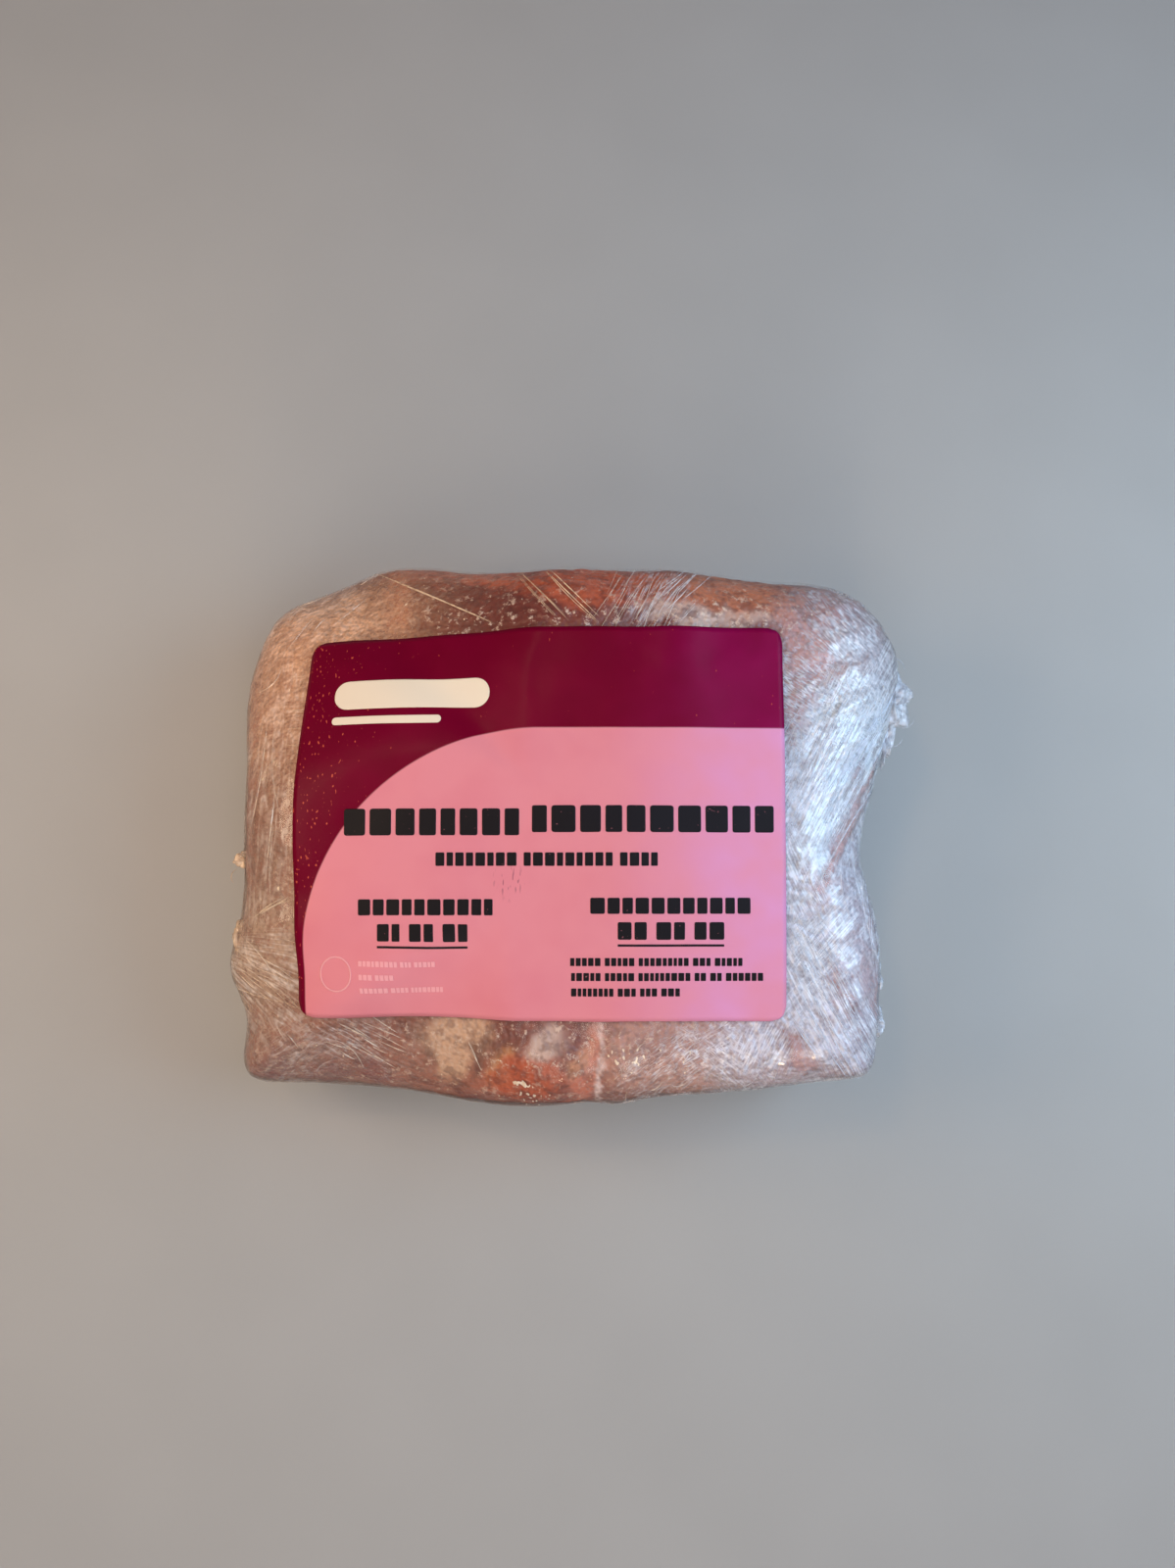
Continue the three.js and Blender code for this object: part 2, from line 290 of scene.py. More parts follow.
def withPoles(values):  # the same two extra points for a value on the grid
    flat = values.reshape(values.shape[0] * values.shape[1], -1)
    ends = [values[0].mean(axis=0).reshape(1, -1), values[-1].mean(axis=0).reshape(1, -1)]
    joined = np.concatenate([flat, *ends])
    return joined[:, 0] if joined.shape[1] == 1 else joined


# ---- shader helpers

def addNode(tree, kind, settings=None, **inputs):
    # An input is named by its socket, with _ for a blank, or by i and its number where names are equal.
    node = tree.nodes.new(kind)
    for name, value in (settings or {}).items():
        setattr(node, name, value)
    for name, value in inputs.items():
        numbered = name[0] == "i" and name[1:].isdigit()
        socket = node.inputs[int(name[1:]) if numbered else name.replace("_", " ")]
        if isinstance(value, bpy.types.NodeSocket):
            tree.links.new(value, socket)
        else:
            socket.default_value = value
    return node


def maths(tree, operation, a, b=0.0, clamp=False):
    settings = {"operation": operation, "use_clamp": clamp}
    return addNode(tree, "ShaderNodeMath", settings, i0=a, i1=b).outputs[0]


def times(tree, a, b):
    return maths(tree, "MULTIPLY", a, b)


def plus(tree, a, b):
    return maths(tree, "ADD", a, b)


def mixColour(tree, factor, a, b):
    return addNode(tree, "ShaderNodeMix", {"data_type": "RGBA"}, i0=factor, i6=a, i7=b).outputs[2]


def noise(tree, place, scale, detail=0.0, **inputs):
    return addNode(tree, "ShaderNodeTexNoise", Vector=place, Scale=scale, Detail=detail, **inputs).outputs[0]


def ramp(tree, value, start, end, kind="LINEAR"):  # 0 at start and 1 at end
    settings = {"interpolation_type": kind}
    return addNode(tree, "ShaderNodeMapRange", settings, Value=value, From_Min=start, From_Max=end).outputs[0]


def stretched(tree, place, scales):
    return addNode(tree, "ShaderNodeVectorMath", {"operation": "MULTIPLY"}, i0=place, i1=scales).outputs[0]


def attribute(tree, name, output="Fac"):
    return addNode(tree, "ShaderNodeAttribute", {"attribute_name": name}).outputs[output]


def newGroup(name, inputs, outputs):
    group = bpy.data.node_groups.new(name, "ShaderNodeTree")
    # an input that starts as None is a vector, and any other is a number
    for key, value in inputs.items():
        kind = "NodeSocketVector" if value is None else "NodeSocketFloat"
        socket = group.interface.new_socket(key, in_out="INPUT", socket_type=kind)
        if value is not None:
            socket.default_value = value
    for key in outputs:
        group.interface.new_socket(key, in_out="OUTPUT", socket_type="NodeSocketFloat")
    return group, group.nodes.new("NodeGroupInput").outputs, group.nodes.new("NodeGroupOutput").inputs


def placeGroup(tree, group, output, **inputs):
    return addNode(tree, "ShaderNodeGroup", {"node_tree": group}, **inputs).outputs[output]


def newMaterial(name):
    material = bpy.data.materials.new(name)
    material.use_nodes = True
    tree = material.node_tree
    tree.nodes.clear()
    shader = tree.nodes.new("ShaderNodeBsdfPrincipled")
    output = tree.nodes.new("ShaderNodeOutputMaterial")
    tree.links.new(shader.outputs[0], output.inputs["Surface"])
    place = tree.nodes.new("ShaderNodeTexCoord").outputs["Object"]
    return material, tree, shader, place


def setFinish(shader, finish):  # constants go straight onto the shader's own sockets
    for name, value in finish.items():
        shader.inputs[name].default_value = value


def addBump(tree, shader, height, strength, distance):
    bump = addNode(tree, "ShaderNodeBump", Height=height, Strength=strength, Distance=distance)
    tree.links.new(bump.outputs[0], shader.inputs["Normal"])


def colour(red, green, blue):  # from the 0 to 255 values of a picture to the renderer's linear ones
    part = np.array([red, green, blue]) / 255
    return (*np.where(part <= 0.04045, part / 12.92, ((part + 0.055) / 1.055) ** 2.4), 1.0)


def makeStreaks():
    # Fine creases: noise on flow coordinates, folded at its middle so that thin crests are left, and
    # raised to a power.
    group, given, out = newGroup("filmStreaks", {"Vector": None, "Sharpness": 3.0}, ["Streaks"])
    uneven = noise(group, given["Vector"], 1.0, 1.0, Roughness=0.6)
    folded = maths(group, "ABSOLUTE", maths(group, "SUBTRACT", uneven, 0.5))
    crest = maths(group, "SUBTRACT", 1.0, times(group, folded, 4.5), clamp=True)
    group.links.new(maths(group, "POWER", crest, given["Sharpness"]), out["Streaks"])
    return group


def makeSpecks():
    # Frost: noise of a size in millimetres, cut off below a level so that specks or patches are left.
    inputs = {"Vector": None, "Size": 1.0, "Level": 0.55, "Softness": 0.1, "Detail": 4.0}
    group, given, out = newGroup("frostSpecks", inputs, ["Specks"])
    scale = maths(group, "DIVIDE", 1000.0, given["Size"])
    uneven = noise(group, given["Vector"], scale, given["Detail"], Roughness=0.8)
    top = plus(group, given["Level"], given["Softness"])
    group.links.new(ramp(group, uneven, given["Level"], top, "SMOOTHSTEP"), out["Specks"])
    return group


def makePaintedGlints():
    # Painted glints: pale strokes painted into the colour where a lamp's glints would show, made from the
    # peaks of plain noise, stretched into strokes. The level that they are cut at falls as the share rises.
    group, given, out = newGroup("paintedGlintStrokes", {"Vector": None, "Size": 1.0, "Share": 0.1}, ["GlintPaint"])
    scale = maths(group, "DIVIDE", 1000.0, given["Size"])
    uneven = noise(group, stretched(group, given["Vector"], (1.0, 0.5, 0.8)), scale)
    level = maths(group, "SUBTRACT", 0.85, times(group, given["Share"], 0.45))
    group.links.new(ramp(group, uneven, level, plus(group, level, 0.05)), out["GlintPaint"])
    return group


streaks = makeStreaks()
specks = makeSpecks()
paintedGlint = makePaintedGlints()


# ---- places as the camera sees them

def oval(x, y, long, wide, heading=0, **values):  # middle, half length and half width, in millimetres
    return {"x": x, "y": y, "long": long, "wide": wide, "heading": heading, **values}


# The camera stands nearly straight above the label. Its place is measured from the core too.
view = {
    "x": 3.73, "y": -20.97, "z": 295.2, "tilt": 7, "lens": 27.04, "sensor": 36,
    "labelHeight": 56, "wallsEnd": 8, "topStarts": 22,
}


def seenPlace(points):
    # Where the line from the camera through a point meets the label's height. Patches and bundles of
    # creases are placed by this, so that they sit where they show.
    reach = (view["z"] - view["labelHeight"]) / (view["z"] - points[..., 2])
    x = view["x"] + (points[..., 0] - view["x"]) * reach
    y = view["y"] + (points[..., 1] - view["y"]) * reach
    return np.stack([x, y, points[..., 2]], -1)


def underSight(seenX, seenY):
    # The other way round: the place on the skin that shows at a seen place, closing in on its height.
    z = np.full(np.shape(seenX), float(view["labelHeight"]))
    for i in range(8):
        reach = (view["z"] - z) / (view["z"] - view["labelHeight"])
        x = view["x"] + (seenX - view["x"]) * reach
        y = view["y"] + (seenY - view["y"]) * reach
        z = topHeight(x, y)
    return x, y


def turned(x, y, degrees):  # how far a place lies along and across a heading
    cos, sin = np.cos(np.radians(degrees)), np.sin(np.radians(degrees))
    return x * cos + y * sin, y * cos - x * sin


def ovalShare(seen, at):  # 1 in the middle of an oval, falling as a bell; its heading is its long axis
    along, across = turned(seen[..., 0] - at["x"], seen[..., 1] - at["y"], at["heading"])
    return np.exp(-0.5 * ((along / at["long"]) ** 2 + (across / at["wide"]) ** 2))


def topShare(points):  # 0 on the low walls and 1 above the middle height, where the camera sees them
    return easeStep(view["wallsEnd"], view["topStarts"], points[..., 2])


# ---- the meat

meat = {
    "columns": 760, "rows": {"top": 22, "shoulder": 40, "wall": 32, "foot": 8, "base": 6},
    "inset": 0.55, "grainHeight": 0.26, "grainSize": 2.6,
    "fibreScale": 1000.0, "finish": {"Roughness": 0.42},
    "speck": colour(224, 194, 170), "deep": colour(78, 26, 20),
    "tones": {
        "lean": colour(112, 42, 30), "leanPale": colour(160, 98, 78), "rose": colour(196, 124, 108),
        "orange": colour(184, 84, 48), "salmon": colour(206, 112, 80), "tan": colour(196, 116, 78),
        "ochre": colour(196, 138, 92), "fat": colour(214, 172, 140), "frost": colour(212, 184, 168),
        "purple": colour(126, 58, 62), "brown": colour(104, 54, 40), "white": colour(240, 214, 208),
        "blush": colour(230, 178, 170), "peach": colour(208, 154, 134),
    },
    # patches, each laid over the ones before
    "patches": [
        oval(-60, 5, 40, 9, 88, tone="leanPale", amount=0.8),
        oval(-22, 48, 26, 8, tone="lean", amount=1.0),
        oval(18, 46, 20, 7, tone="lean", amount=0.55),
        oval(-24, 52.5, 13, 1.6, -2, tone="salmon", amount=0.7),
        oval(8, 50.5, 17, 3.4, -3, tone="orange", amount=1.0),
        oval(34, 48, 15, 3.6, -7, tone="tan", amount=0.9),
        oval(-36, 47, 6, 2.4, 90, tone="tan", amount=0.7),
        oval(23, 44.5, 7, 2.0, -12, tone="frost", amount=0.7),
        oval(35, 43, 6, 1.6, tone="frost", amount=0.6),
        oval(54, 38, 9, 8, tone="rose", amount=0.7),
        oval(57, -4, 38, 9, 90, tone="blush", amount=0.85),
        oval(-57.5, 32.5, 6, 1.1, 84, tone="orange", amount=0.9),
        oval(-62, -2, 12, 3, 88, tone="brown", amount=0.4),
        oval(-48, -47, 18, 7, tone="leanPale", amount=0.7),
        oval(-59, -49, 5, 2.8, 60, tone="purple", amount=0.9),
        oval(-49, -50, 3.5, 2.2, 20, tone="purple", amount=0.7),
        oval(-39, -49, 3, 2, -20, tone="purple", amount=0.6),
        oval(-27, -45.5, 6, 1.0, -50, tone="brown", amount=1.0),
        oval(-22.5, -42.2, 5.6, 3.4, tone="fat", amount=1.0),
        oval(-23.4, -46.5, 2.6, 4.0, tone="fat", amount=1.0),
        oval(-18, -46, 4, 0.8, 78, tone="brown", amount=0.8),
        oval(-13.5, -48, 4.0, 2.0, 72, tone="ochre", amount=1.0),
        oval(-13, -42, 4.0, 2.0, 60, tone="lean", amount=0.7),
        oval(-8.8, -51, 6.5, 3.2, tone="orange", amount=0.9),
        oval(-4.4, -44.3, 3.6, 2.8, 40, tone="frost", amount=0.8),
        oval(1.0, -42.5, 4.5, 2.0, 55, tone="lean", amount=0.5),
        oval(3.4, -49, 6.5, 2.4, 70, tone="salmon", amount=1.0),
        oval(1.8, -47.5, 3.2, 1.2, 60, tone="ochre", amount=0.7),
        oval(24, -46.5, 15, 7, tone="peach", amount=0.9),
        oval(16, -44, 5, 3, 40, tone="leanPale", amount=0.7),
        oval(6.0, -48.5, 7.5, 0.5, 87, tone="white", amount=1.0),
        oval(33, -47.5, 3.6, 4.4, tone="frost", amount=0.8),
        oval(40.5, -41, 1.6, 1.2, tone="brown", amount=0.8),
        oval(44, -49, 8, 4, tone="blush", amount=0.7),
        oval(45, -44, 4, 2.6, -64, tone="rose", amount=0.4),
        oval(56, -46, 9, 1.6, -64, tone="rose", amount=0.7),
    ],
    # how thick the pale frost specks lie: a share everywhere, and more or less in ovals
    "specksEverywhere": 0.55,
    "speckled": [
        oval(-18, 43, 20, 3.4, amount=0.3),
        oval(-22, -44, 6, 4, amount=0.3),
        oval(-5, -45, 5, 3, amount=0.4),
        oval(26, 44, 16, 3, amount=0.4),
        oval(24, -46, 16, 6, amount=0.45),
        oval(-46, -46, 16, 6, amount=0.15),
        oval(5, 52, 22, 2, amount=-0.35),
        oval(-8, -50, 9, 4, amount=-0.3),
    ],
}


def meatTones(points):
    # Lean and pale lean mixed by broad noise, with marbling on the sides and the underside, and the
    # named patches laid over them. Their edges are roughened by moving the points with fine noise.
    seen = seenPlace(points)
    onTop = topShare(points)[..., None]
    tones = {name: np.array(tone[:3]) for name, tone in meat["tones"].items()}
    broad = easeStep(-0.4, 0.6, cloud(points, 15, 3))[..., None]
    tone = tones["lean"] * (1 - broad) + tones["leanPale"] * broad
    marbling = easeStep(0.25, 0.6, cloud(points * [1, 1, 2], 22, 4, 5.0))[..., None] * (1 - onTop)
    tone = tone + (tones["fat"] - tone) * 0.8 * marbling
    shove = np.stack([cloud(points, 4, 3, 1.0), cloud(points, 4, 3, 9.0), 0 * points[..., 0]], -1)
    rough = seen + 1.5 * shove
    for each in meat["patches"]:
        share = easeStep(0.22, 0.72, ovalShare(rough, each))[..., None] * each["amount"] * onTop
        tone = tone + (tones[each["tone"]] - tone) * share
    speckled = meat["specksEverywhere"]
    for each in meat["speckled"]:
        speckled = speckled + each["amount"] * ovalShare(seen, each)
    return tone, np.clip(speckled, 0, 1)


def makeMeatMaterial():
    material, tree, shader, place = newMaterial("frozenMeat")
    tone = attribute(tree, "tone", "Color")
    speckled = attribute(tree, "speckled")
    blotch = placeGroup(tree, specks, "Specks", Vector=place, Size=3.0, Level=0.44, Softness=0.2, Detail=2.0)
    grains = placeGroup(tree, specks, "Specks", Vector=place, Size=2.0, Level=0.55, Softness=0.12, Detail=3.0)
    darker = mixColour(tree, times(tree, blotch, 0.5), tone, meat["deep"])
    frosted = mixColour(tree, times(tree, grains, speckled), darker, meat["speck"])
    tree.links.new(frosted, shader.inputs["Base Color"])
    setFinish(shader, meat["finish"])
    addBump(tree, shader, noise(tree, place, meat["fibreScale"]), 0.7, 0.0005)
    return material


def makeMeat():
    # The skin grid moved in by the film's room, with grain from noise along its normals.
    skin = skinGrid(evenAngles(meat["columns"]), meat["rows"])
    normal = gridNormals(skin)
    grain = meat["grainHeight"] * (cloud(skin, meat["grainSize"], 3) + 0.6 * cloud(skin, 9, 2, 3.0))
    flesh = skin - normal * (meat["inset"] - grain)[..., None]
    flesh[..., 2] = np.maximum(flesh[..., 2], 0.45)
    points, faces = closedSkin(flesh)
    tone, speckled = meatTones(skin)
    piece = addMesh("pork_meat", points, faces, makeMeatMaterial(),
                    attributes={"tone": withPoles(tone), "speckled": withPoles(speckled)})
    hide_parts("wrapped_block")


# ---- the film

film = {
    "columns": 860, "rows": {"top": 24, "shoulder": 46, "wall": 28, "foot": 7, "base": 6},
    "wrinkleHeight": 0.12, "wrinkleSize": 5, "creaseHeight": 0.28, "underLabel": 0.35,
    # glint is the pale gold of the painted glints, specks that stand in for a lamp's glints, and
    # paintedGlintSize their size
    "line": colour(252, 253, 255), "paintedGlintColour": colour(255, 236, 200), "paintedGlintSize": 0.6,
    "frost": {"Size": 2.4, "Level": 0.36, "Softness": 0.3, "Detail": 1.0},
    "grainScale": 1900.0, "crinkleScale": 1000.0,
    "finish": {"Roughness": 0.3, "Coat Weight": 1.0, "Coat IOR": 1.65, "Coat Roughness": 0.07},
    # Two layers of fine creases. A straight flow has a heading, and a fan has a middle that its
    # creases run from. across is the space between creases and along is their length.
    "layers": [
        [
            oval(54, 12, 24, 8, 62, across=0.58, along=26, amount=1.0),
            oval(46, 2, 20, 2.5, 84, across=0.48, along=9, amount=0.8),
            oval(51, -25, 12, 6, 48, across=0.61, along=13, amount=0.8),
            oval(18, 47, 7, 5, 58, across=0.61, along=9, amount=0.8),
            oval(58, 40, 9, 6, -48, across=0.54, along=5, amount=0.7),
            oval(-62, 8, 34, 7, 87, across=1.5, along=14, amount=0.3),
            oval(-52, 46, 12, 7, 48, across=1.1, along=9, amount=0.25),
            oval(-62, -32, 12, 9, fan=(-76, -22), reach=14, across=0.68, along=12, amount=0.45),
            oval(-43, -43, 9, 4, -28, across=0.75, along=8, amount=0.5),
            oval(24, -46, 16, 6, 35, across=0.68, along=4, amount=0.6),
            oval(38, -44, 5, 5, 62, across=0.61, along=6, amount=0.8),
            oval(0, 52, 30, 3, -2, across=1.02, along=14, amount=0.15),
        ],
        [
            oval(53, -38, 15, 6, -64, across=0.58, along=22, amount=0.95),
            oval(56, 24, 13, 8, -35, across=0.68, along=3.5, amount=0.7),
            oval(61, -15, 14, 4, 97, across=0.88, along=16, amount=0.6),
            oval(47, -12, 12, 4, 115, across=0.54, along=7, amount=0.7),
            oval(-57, 22, 14, 3, 5, across=0.75, along=5, amount=0.25),
            oval(-54, -46, 10, 6, 30, across=0.95, along=6, amount=0.3),
            oval(30, -47, 12, 5, -40, across=0.68, along=4, amount=0.6),
            oval(-62, 40, 8, 6, 25, across=0.82, along=7, amount=0.25),
        ],
    ],
    "onWalls": [
        {"slope": (0.25, 0.1), "across": 1.3, "along": 16, "amount": 0.5},
        {"slope": (-0.4, 0.5), "across": 1.5, "along": 12, "amount": 0.35},
    ],
    # milkiness and its tint: over the share everywhere, ovals each with their own tint. Beige and gold at the
    # left and cool blue and lilac at the right are painted warm lamp light and painted cool light.
    "milkEverywhere": 0.03, "milkOnWalls": 0.42, "milkAndHighlightOnRim": 0.9,
    "tints": {
        "neutral": colour(212, 172, 158), "warmLitBeige": colour(206, 170, 142), "coolLit": colour(192, 212, 222),
        "coolLitLilac": colour(208, 200, 212), "mauve": colour(196, 156, 140), "cream": colour(232, 200, 166),
        "warmLitGold": colour(250, 190, 146), "pinkish": colour(206, 178, 180),
    },
    "milky": [
        oval(-60, 28, 14, 8, 88, tint="warmLitGold", amount=0.62),
        oval(-58, 2, 18, 8, 88, tint="warmLitBeige", amount=0.3),
        oval(-60, -30, 12, 8, 88, tint="warmLitBeige", amount=0.5),
        oval(-48, 42, 13, 6, 12, tint="warmLitGold", amount=0.9),
        oval(-65, -26, 9, 6, 60, tint="cream", amount=0.3),
        oval(-48, -45, 17, 6, tint="mauve", amount=0.27),
        oval(-23, -44, 6, 4, tint="cream", amount=0.15),
        oval(20, -46, 14, 7, tint="neutral", amount=0.34),
        oval(36, -45, 5, 7, tint="coolLitLilac", amount=0.55),
        oval(52, -44, 16, 8, -50, tint="coolLitLilac", amount=0.85),
        oval(48, -4, 28, 4, 90, tint="coolLit", amount=0.5),
        oval(54, -8, 26, 9, 88, tint="coolLitLilac", amount=0.78),
        oval(57, 19, 14, 9, 75, tint="coolLit", amount=0.82),
        oval(62, 36, 12, 5, 110, tint="pinkish", amount=0.6),
    ],
    # where the painted glints lie thick, over their share everywhere
    "paintedGlintsEverywhere": 0.02,
    "paintedGlintPlaces": [
        oval(-8, -53, 3.4, 1.8, amount=0.65),
        oval(12, -47, 3, 2, amount=0.4),
        oval(-35.5, 43.5, 3, 1.5, amount=0.2),
        oval(-62, 11, 3, 1.2, 60, amount=0.35),
        oval(-62, -12, 3, 1, amount=0.3),
        oval(-23, -42, 8, 2, amount=0.1),
        oval(55, 24, 12, 7, amount=0.12),
        oval(22, -45, 14, 4, amount=0.1),
        oval(-60, 0, 6, 30, amount=0.05),
    ],
    # gaps in the milkiness, where the meat shows through between creases
    "clear": [
        oval(54.5, -6, 10, 0.9, 62, amount=0.75),
        oval(51, 16, 7, 0.8, 60, amount=0.5),
        oval(59, 4, 9, 0.8, 66, amount=0.5),
        oval(46.5, 24, 6, 2.2, 84, amount=0.6),
        oval(50, 34, 8, 4.5, -45, amount=0.5),
        oval(55, -34, 8, 1.2, -64, amount=0.5),
        oval(45, -44, 4, 2.0, -64, amount=0.6),
        oval(57.5, -41, 7, 0.8, -68, amount=0.5),
        oval(50, -48.8, 6, 0.9, -8, amount=0.5),
        oval(57, 2, 12, 1.4, 74, amount=0.45),
    ],
}


def creaseFlow(points, seen, onTop, layer):
    # Coordinates for one layer of creases, counted in crease spaces across and crease lengths along,
    # and how strong the creases are. Each point takes the flow whose oval is strongest there, and the
    # creases fade where two flows are as strong.
    wall = film["onWalls"][layer]
    x, y, z = seen[..., 0], seen[..., 1], points[..., 2]
    slant = (z + wall["slope"][0] * points[..., 0] + wall["slope"][1] * points[..., 1]) / wall["across"]
    flow = np.stack([slant, points[..., 0] / wall["along"], points[..., 1] / wall["along"]], -1)
    amount = wall["amount"] * (1 - onTop) * easeStep(-0.3, 0.7, cloud(points, 17, 2, 2.0 + layer))
    best, second = 0.05 * (1 - onTop), 0
    for i, each in enumerate(film["layers"][layer]):
        strength = each["amount"] * ovalShare(seen, each) * onTop
        if "fan" in each:
            turn = np.arctan2(y - each["fan"][1], x - each["fan"][0])
            across, along = turn * each["reach"], np.hypot(y - each["fan"][1], x - each["fan"][0])
        else:
            along, across = turned(x, y, each["heading"])
        own = np.stack([across / each["across"], along / each["along"], z / each["along"] + 5.3 * i], -1)
        flow = np.where((strength > best)[..., None], own, flow)
        second = np.maximum(second, np.minimum(best, strength))
        best = np.maximum(best, strength)
        amount = np.maximum(amount, strength)
    amount = amount * easeStep(0, 0.2, (best - second) / np.maximum(best, 1e-6) + (1 - onTop))
    return flow, amount * (1 + 0.4 * cloud(points, 5, 2, 8.0 + layer))


def milkiness(points, seen, onTop, upward):
    # The share of light that the film holds back, summed over its ovals, and their tints' mean. The tints
    # run from beige and gold at the left to cool blue and lilac at the right: painted warm lamp light and
    # painted cool light. The share rises where the film turns down over the edge, so that a pale rim shows
    # there, but not at the back; the rim is milkier film with a painted highlight on it.
    tints = {name: np.array(tint[:3]) for name, tint in film["tints"].items()}
    milk = film["milkEverywhere"] + (film["milkOnWalls"] - film["milkEverywhere"]) * (1 - onTop)
    # painted light: the haze tint runs from warm at the left to cool at the right, for the warm lamp and the
    # cool light
    coolLightToRight = easeStep(-60, 60, points[..., 0])[..., None]
    side = tints["warmLitBeige"] * (1 - coolLightToRight) + tints["coolLitLilac"] * coolLightToRight
    tint, total = side * milk[..., None], milk.copy()
    for each in film["milky"]:
        share = each["amount"] * ovalShare(seen, each) * onTop
        milk = milk + share * (1 - milk)
        tint = tint + share[..., None] * tints[each["tint"]]
        total = total + share
    shove = np.stack([cloud(points, 3, 3, 4.0), cloud(points, 3, 3, 6.0), 0 * points[..., 0]], -1)
    shoved = seen + 0.8 * shove
    for each in film["clear"]:
        milk = milk * (1 - each["amount"] * easeStep(0.1, 0.9, ovalShare(shoved, each)) * onTop)
    milk = milk * (1 + 0.3 * cloud(points, 4, 4, 7.0))
    # pale rim where the film turns down over the edge: milkier film and painted highlight, cream at the left
    # and near white at the right
    rim = film["milkAndHighlightOnRim"] * easeStep(0.45, 0.05, upward) * easeStep(52, 38, points[..., 1]) * onTop
    milk = milk + rim * (1 - milk)
    pale = tints["cream"] * (1 - coolLightToRight) + np.array(film["line"][:3]) * coolLightToRight
    tint = tint / total[..., None]
    return np.clip(milk, 0.03, 0.95), tint + (pale - tint) * 0.7 * rim[..., None]


def makeFilmMaterial():
    # The film is as opaque as its haze and its crease lines are together, and whole where the painted glints
    # are. Haze is the milkiness made uneven by frost and grain, and lines are the stronger layer's streaks.
    # Where lines are, the colour turns near white: partly the creases' own whiteness, partly painted
    # highlight.
    material, tree, shader, place = newMaterial("stretchFilm")
    layers = []
    for layer in ("0", "1"):
        crests = placeGroup(tree, streaks, "Streaks", Vector=attribute(tree, "flow" + layer, "Vector"))
        layers.append(times(tree, crests, attribute(tree, "amount" + layer)))
    frost = placeGroup(tree, specks, "Specks", Vector=place, **film["frost"])
    grain = noise(tree, place, film["grainScale"])
    lines = times(tree, maths(tree, "MAXIMUM", *layers), plus(tree, 0.6, times(tree, frost, 0.6)))
    uneven = plus(tree, times(tree, frost, 0.3), times(tree, grain, 0.6))
    haze = times(tree, attribute(tree, "milk"), plus(tree, 0.42, uneven))
    veil = maths(tree, "ADD", haze, times(tree, lines, 0.75), clamp=True)
    # painted glints: the film turns opaque and pale gold in specks, as highlights of the lamps
    share = times(tree, attribute(tree, "paintedGlints"), times(tree, frost, 1.6))
    paintedGlints = placeGroup(tree, paintedGlint, "GlintPaint", Vector=place, Size=film["paintedGlintSize"], Share=share)
    alpha = maths(tree, "MAXIMUM", veil, paintedGlints)
    tree.links.new(maths(tree, "MINIMUM", alpha, 0.96), shader.inputs["Alpha"])
    own = attribute(tree, "tint", "Color")
    # crease lines turn near white: partly their own whiteness and partly painted highlight along their ridges
    creaseWhiteAndHighlight = mixColour(tree, lines, own, mixColour(tree, 0.75, own, film["line"]))
    lit = mixColour(tree, paintedGlints, creaseWhiteAndHighlight, mixColour(tree, 0.6, own, film["paintedGlintColour"]))
    tree.links.new(lit, shader.inputs["Base Color"])
    setFinish(shader, film["finish"])
    addBump(tree, shader, noise(tree, place, film["crinkleScale"]), 0.9, 0.0006)
    return material


def makeFilm():
    # The skin grid moved along its normals by wrinkles from noise, and by broad folds that run with
    # the fine creases: noise on the flow's coordinates at a third of their size, folded at zero.
    skin = skinGrid(evenAngles(film["columns"]), film["rows"])
    normal = gridNormals(skin)
    seen, onTop = seenPlace(skin), topShare(skin)
    milk, tint = milkiness(skin, seen, onTop, normal[..., 2])
    paintedGlints = film["paintedGlintsEverywhere"]
    for each in film["paintedGlintPlaces"]:
        paintedGlints = paintedGlints + each["amount"] * ovalShare(seen, each)
    values = {"milk": withPoles(milk), "tint": withPoles(tint), "paintedGlints": withPoles(paintedGlints)}
    crest = 0
    for layer in range(2):
        flow, amount = creaseFlow(skin, seen, onTop, layer)
        values[f"flow{layer}"], values[f"amount{layer}"] = withPoles(flow), withPoles(amount)
        fold = np.clip(1 - 2.4 * np.abs(cloud(flow / [3, 1.2, 1.2], 1, 2)), 0, 1) ** 2
        crest = np.maximum(crest, fold * amount)
    offX = np.abs(skin[..., 0] - label["x"]) - label["width"] / 2
    offY = np.abs(skin[..., 1] - label["y"]) - label["height"] / 2
    free = np.maximum(easeStep(-2, 1, np.maximum(offX, offY)), 1 - easeStep(20, 30, skin[..., 2]))
    lift = film["wrinkleHeight"] * cloud(skin, film["wrinkleSize"], 3, 4.0) + film["creaseHeight"] * crest
    lift = lift * (film["underLabel"] + (1 - film["underLabel"]) * free)
    sheet = skin + normal * lift[..., None]
    sheet[..., 2] = np.where(skin[..., 2] < 0.01, 0, np.maximum(sheet[..., 2], 0))
    points, faces = closedSkin(sheet)
    piece = addMesh("stretch_film", points, faces, makeFilmMaterial(), attributes=values)
    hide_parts("wrapped_block")
    return sheet


# ---- creases that stand out singly

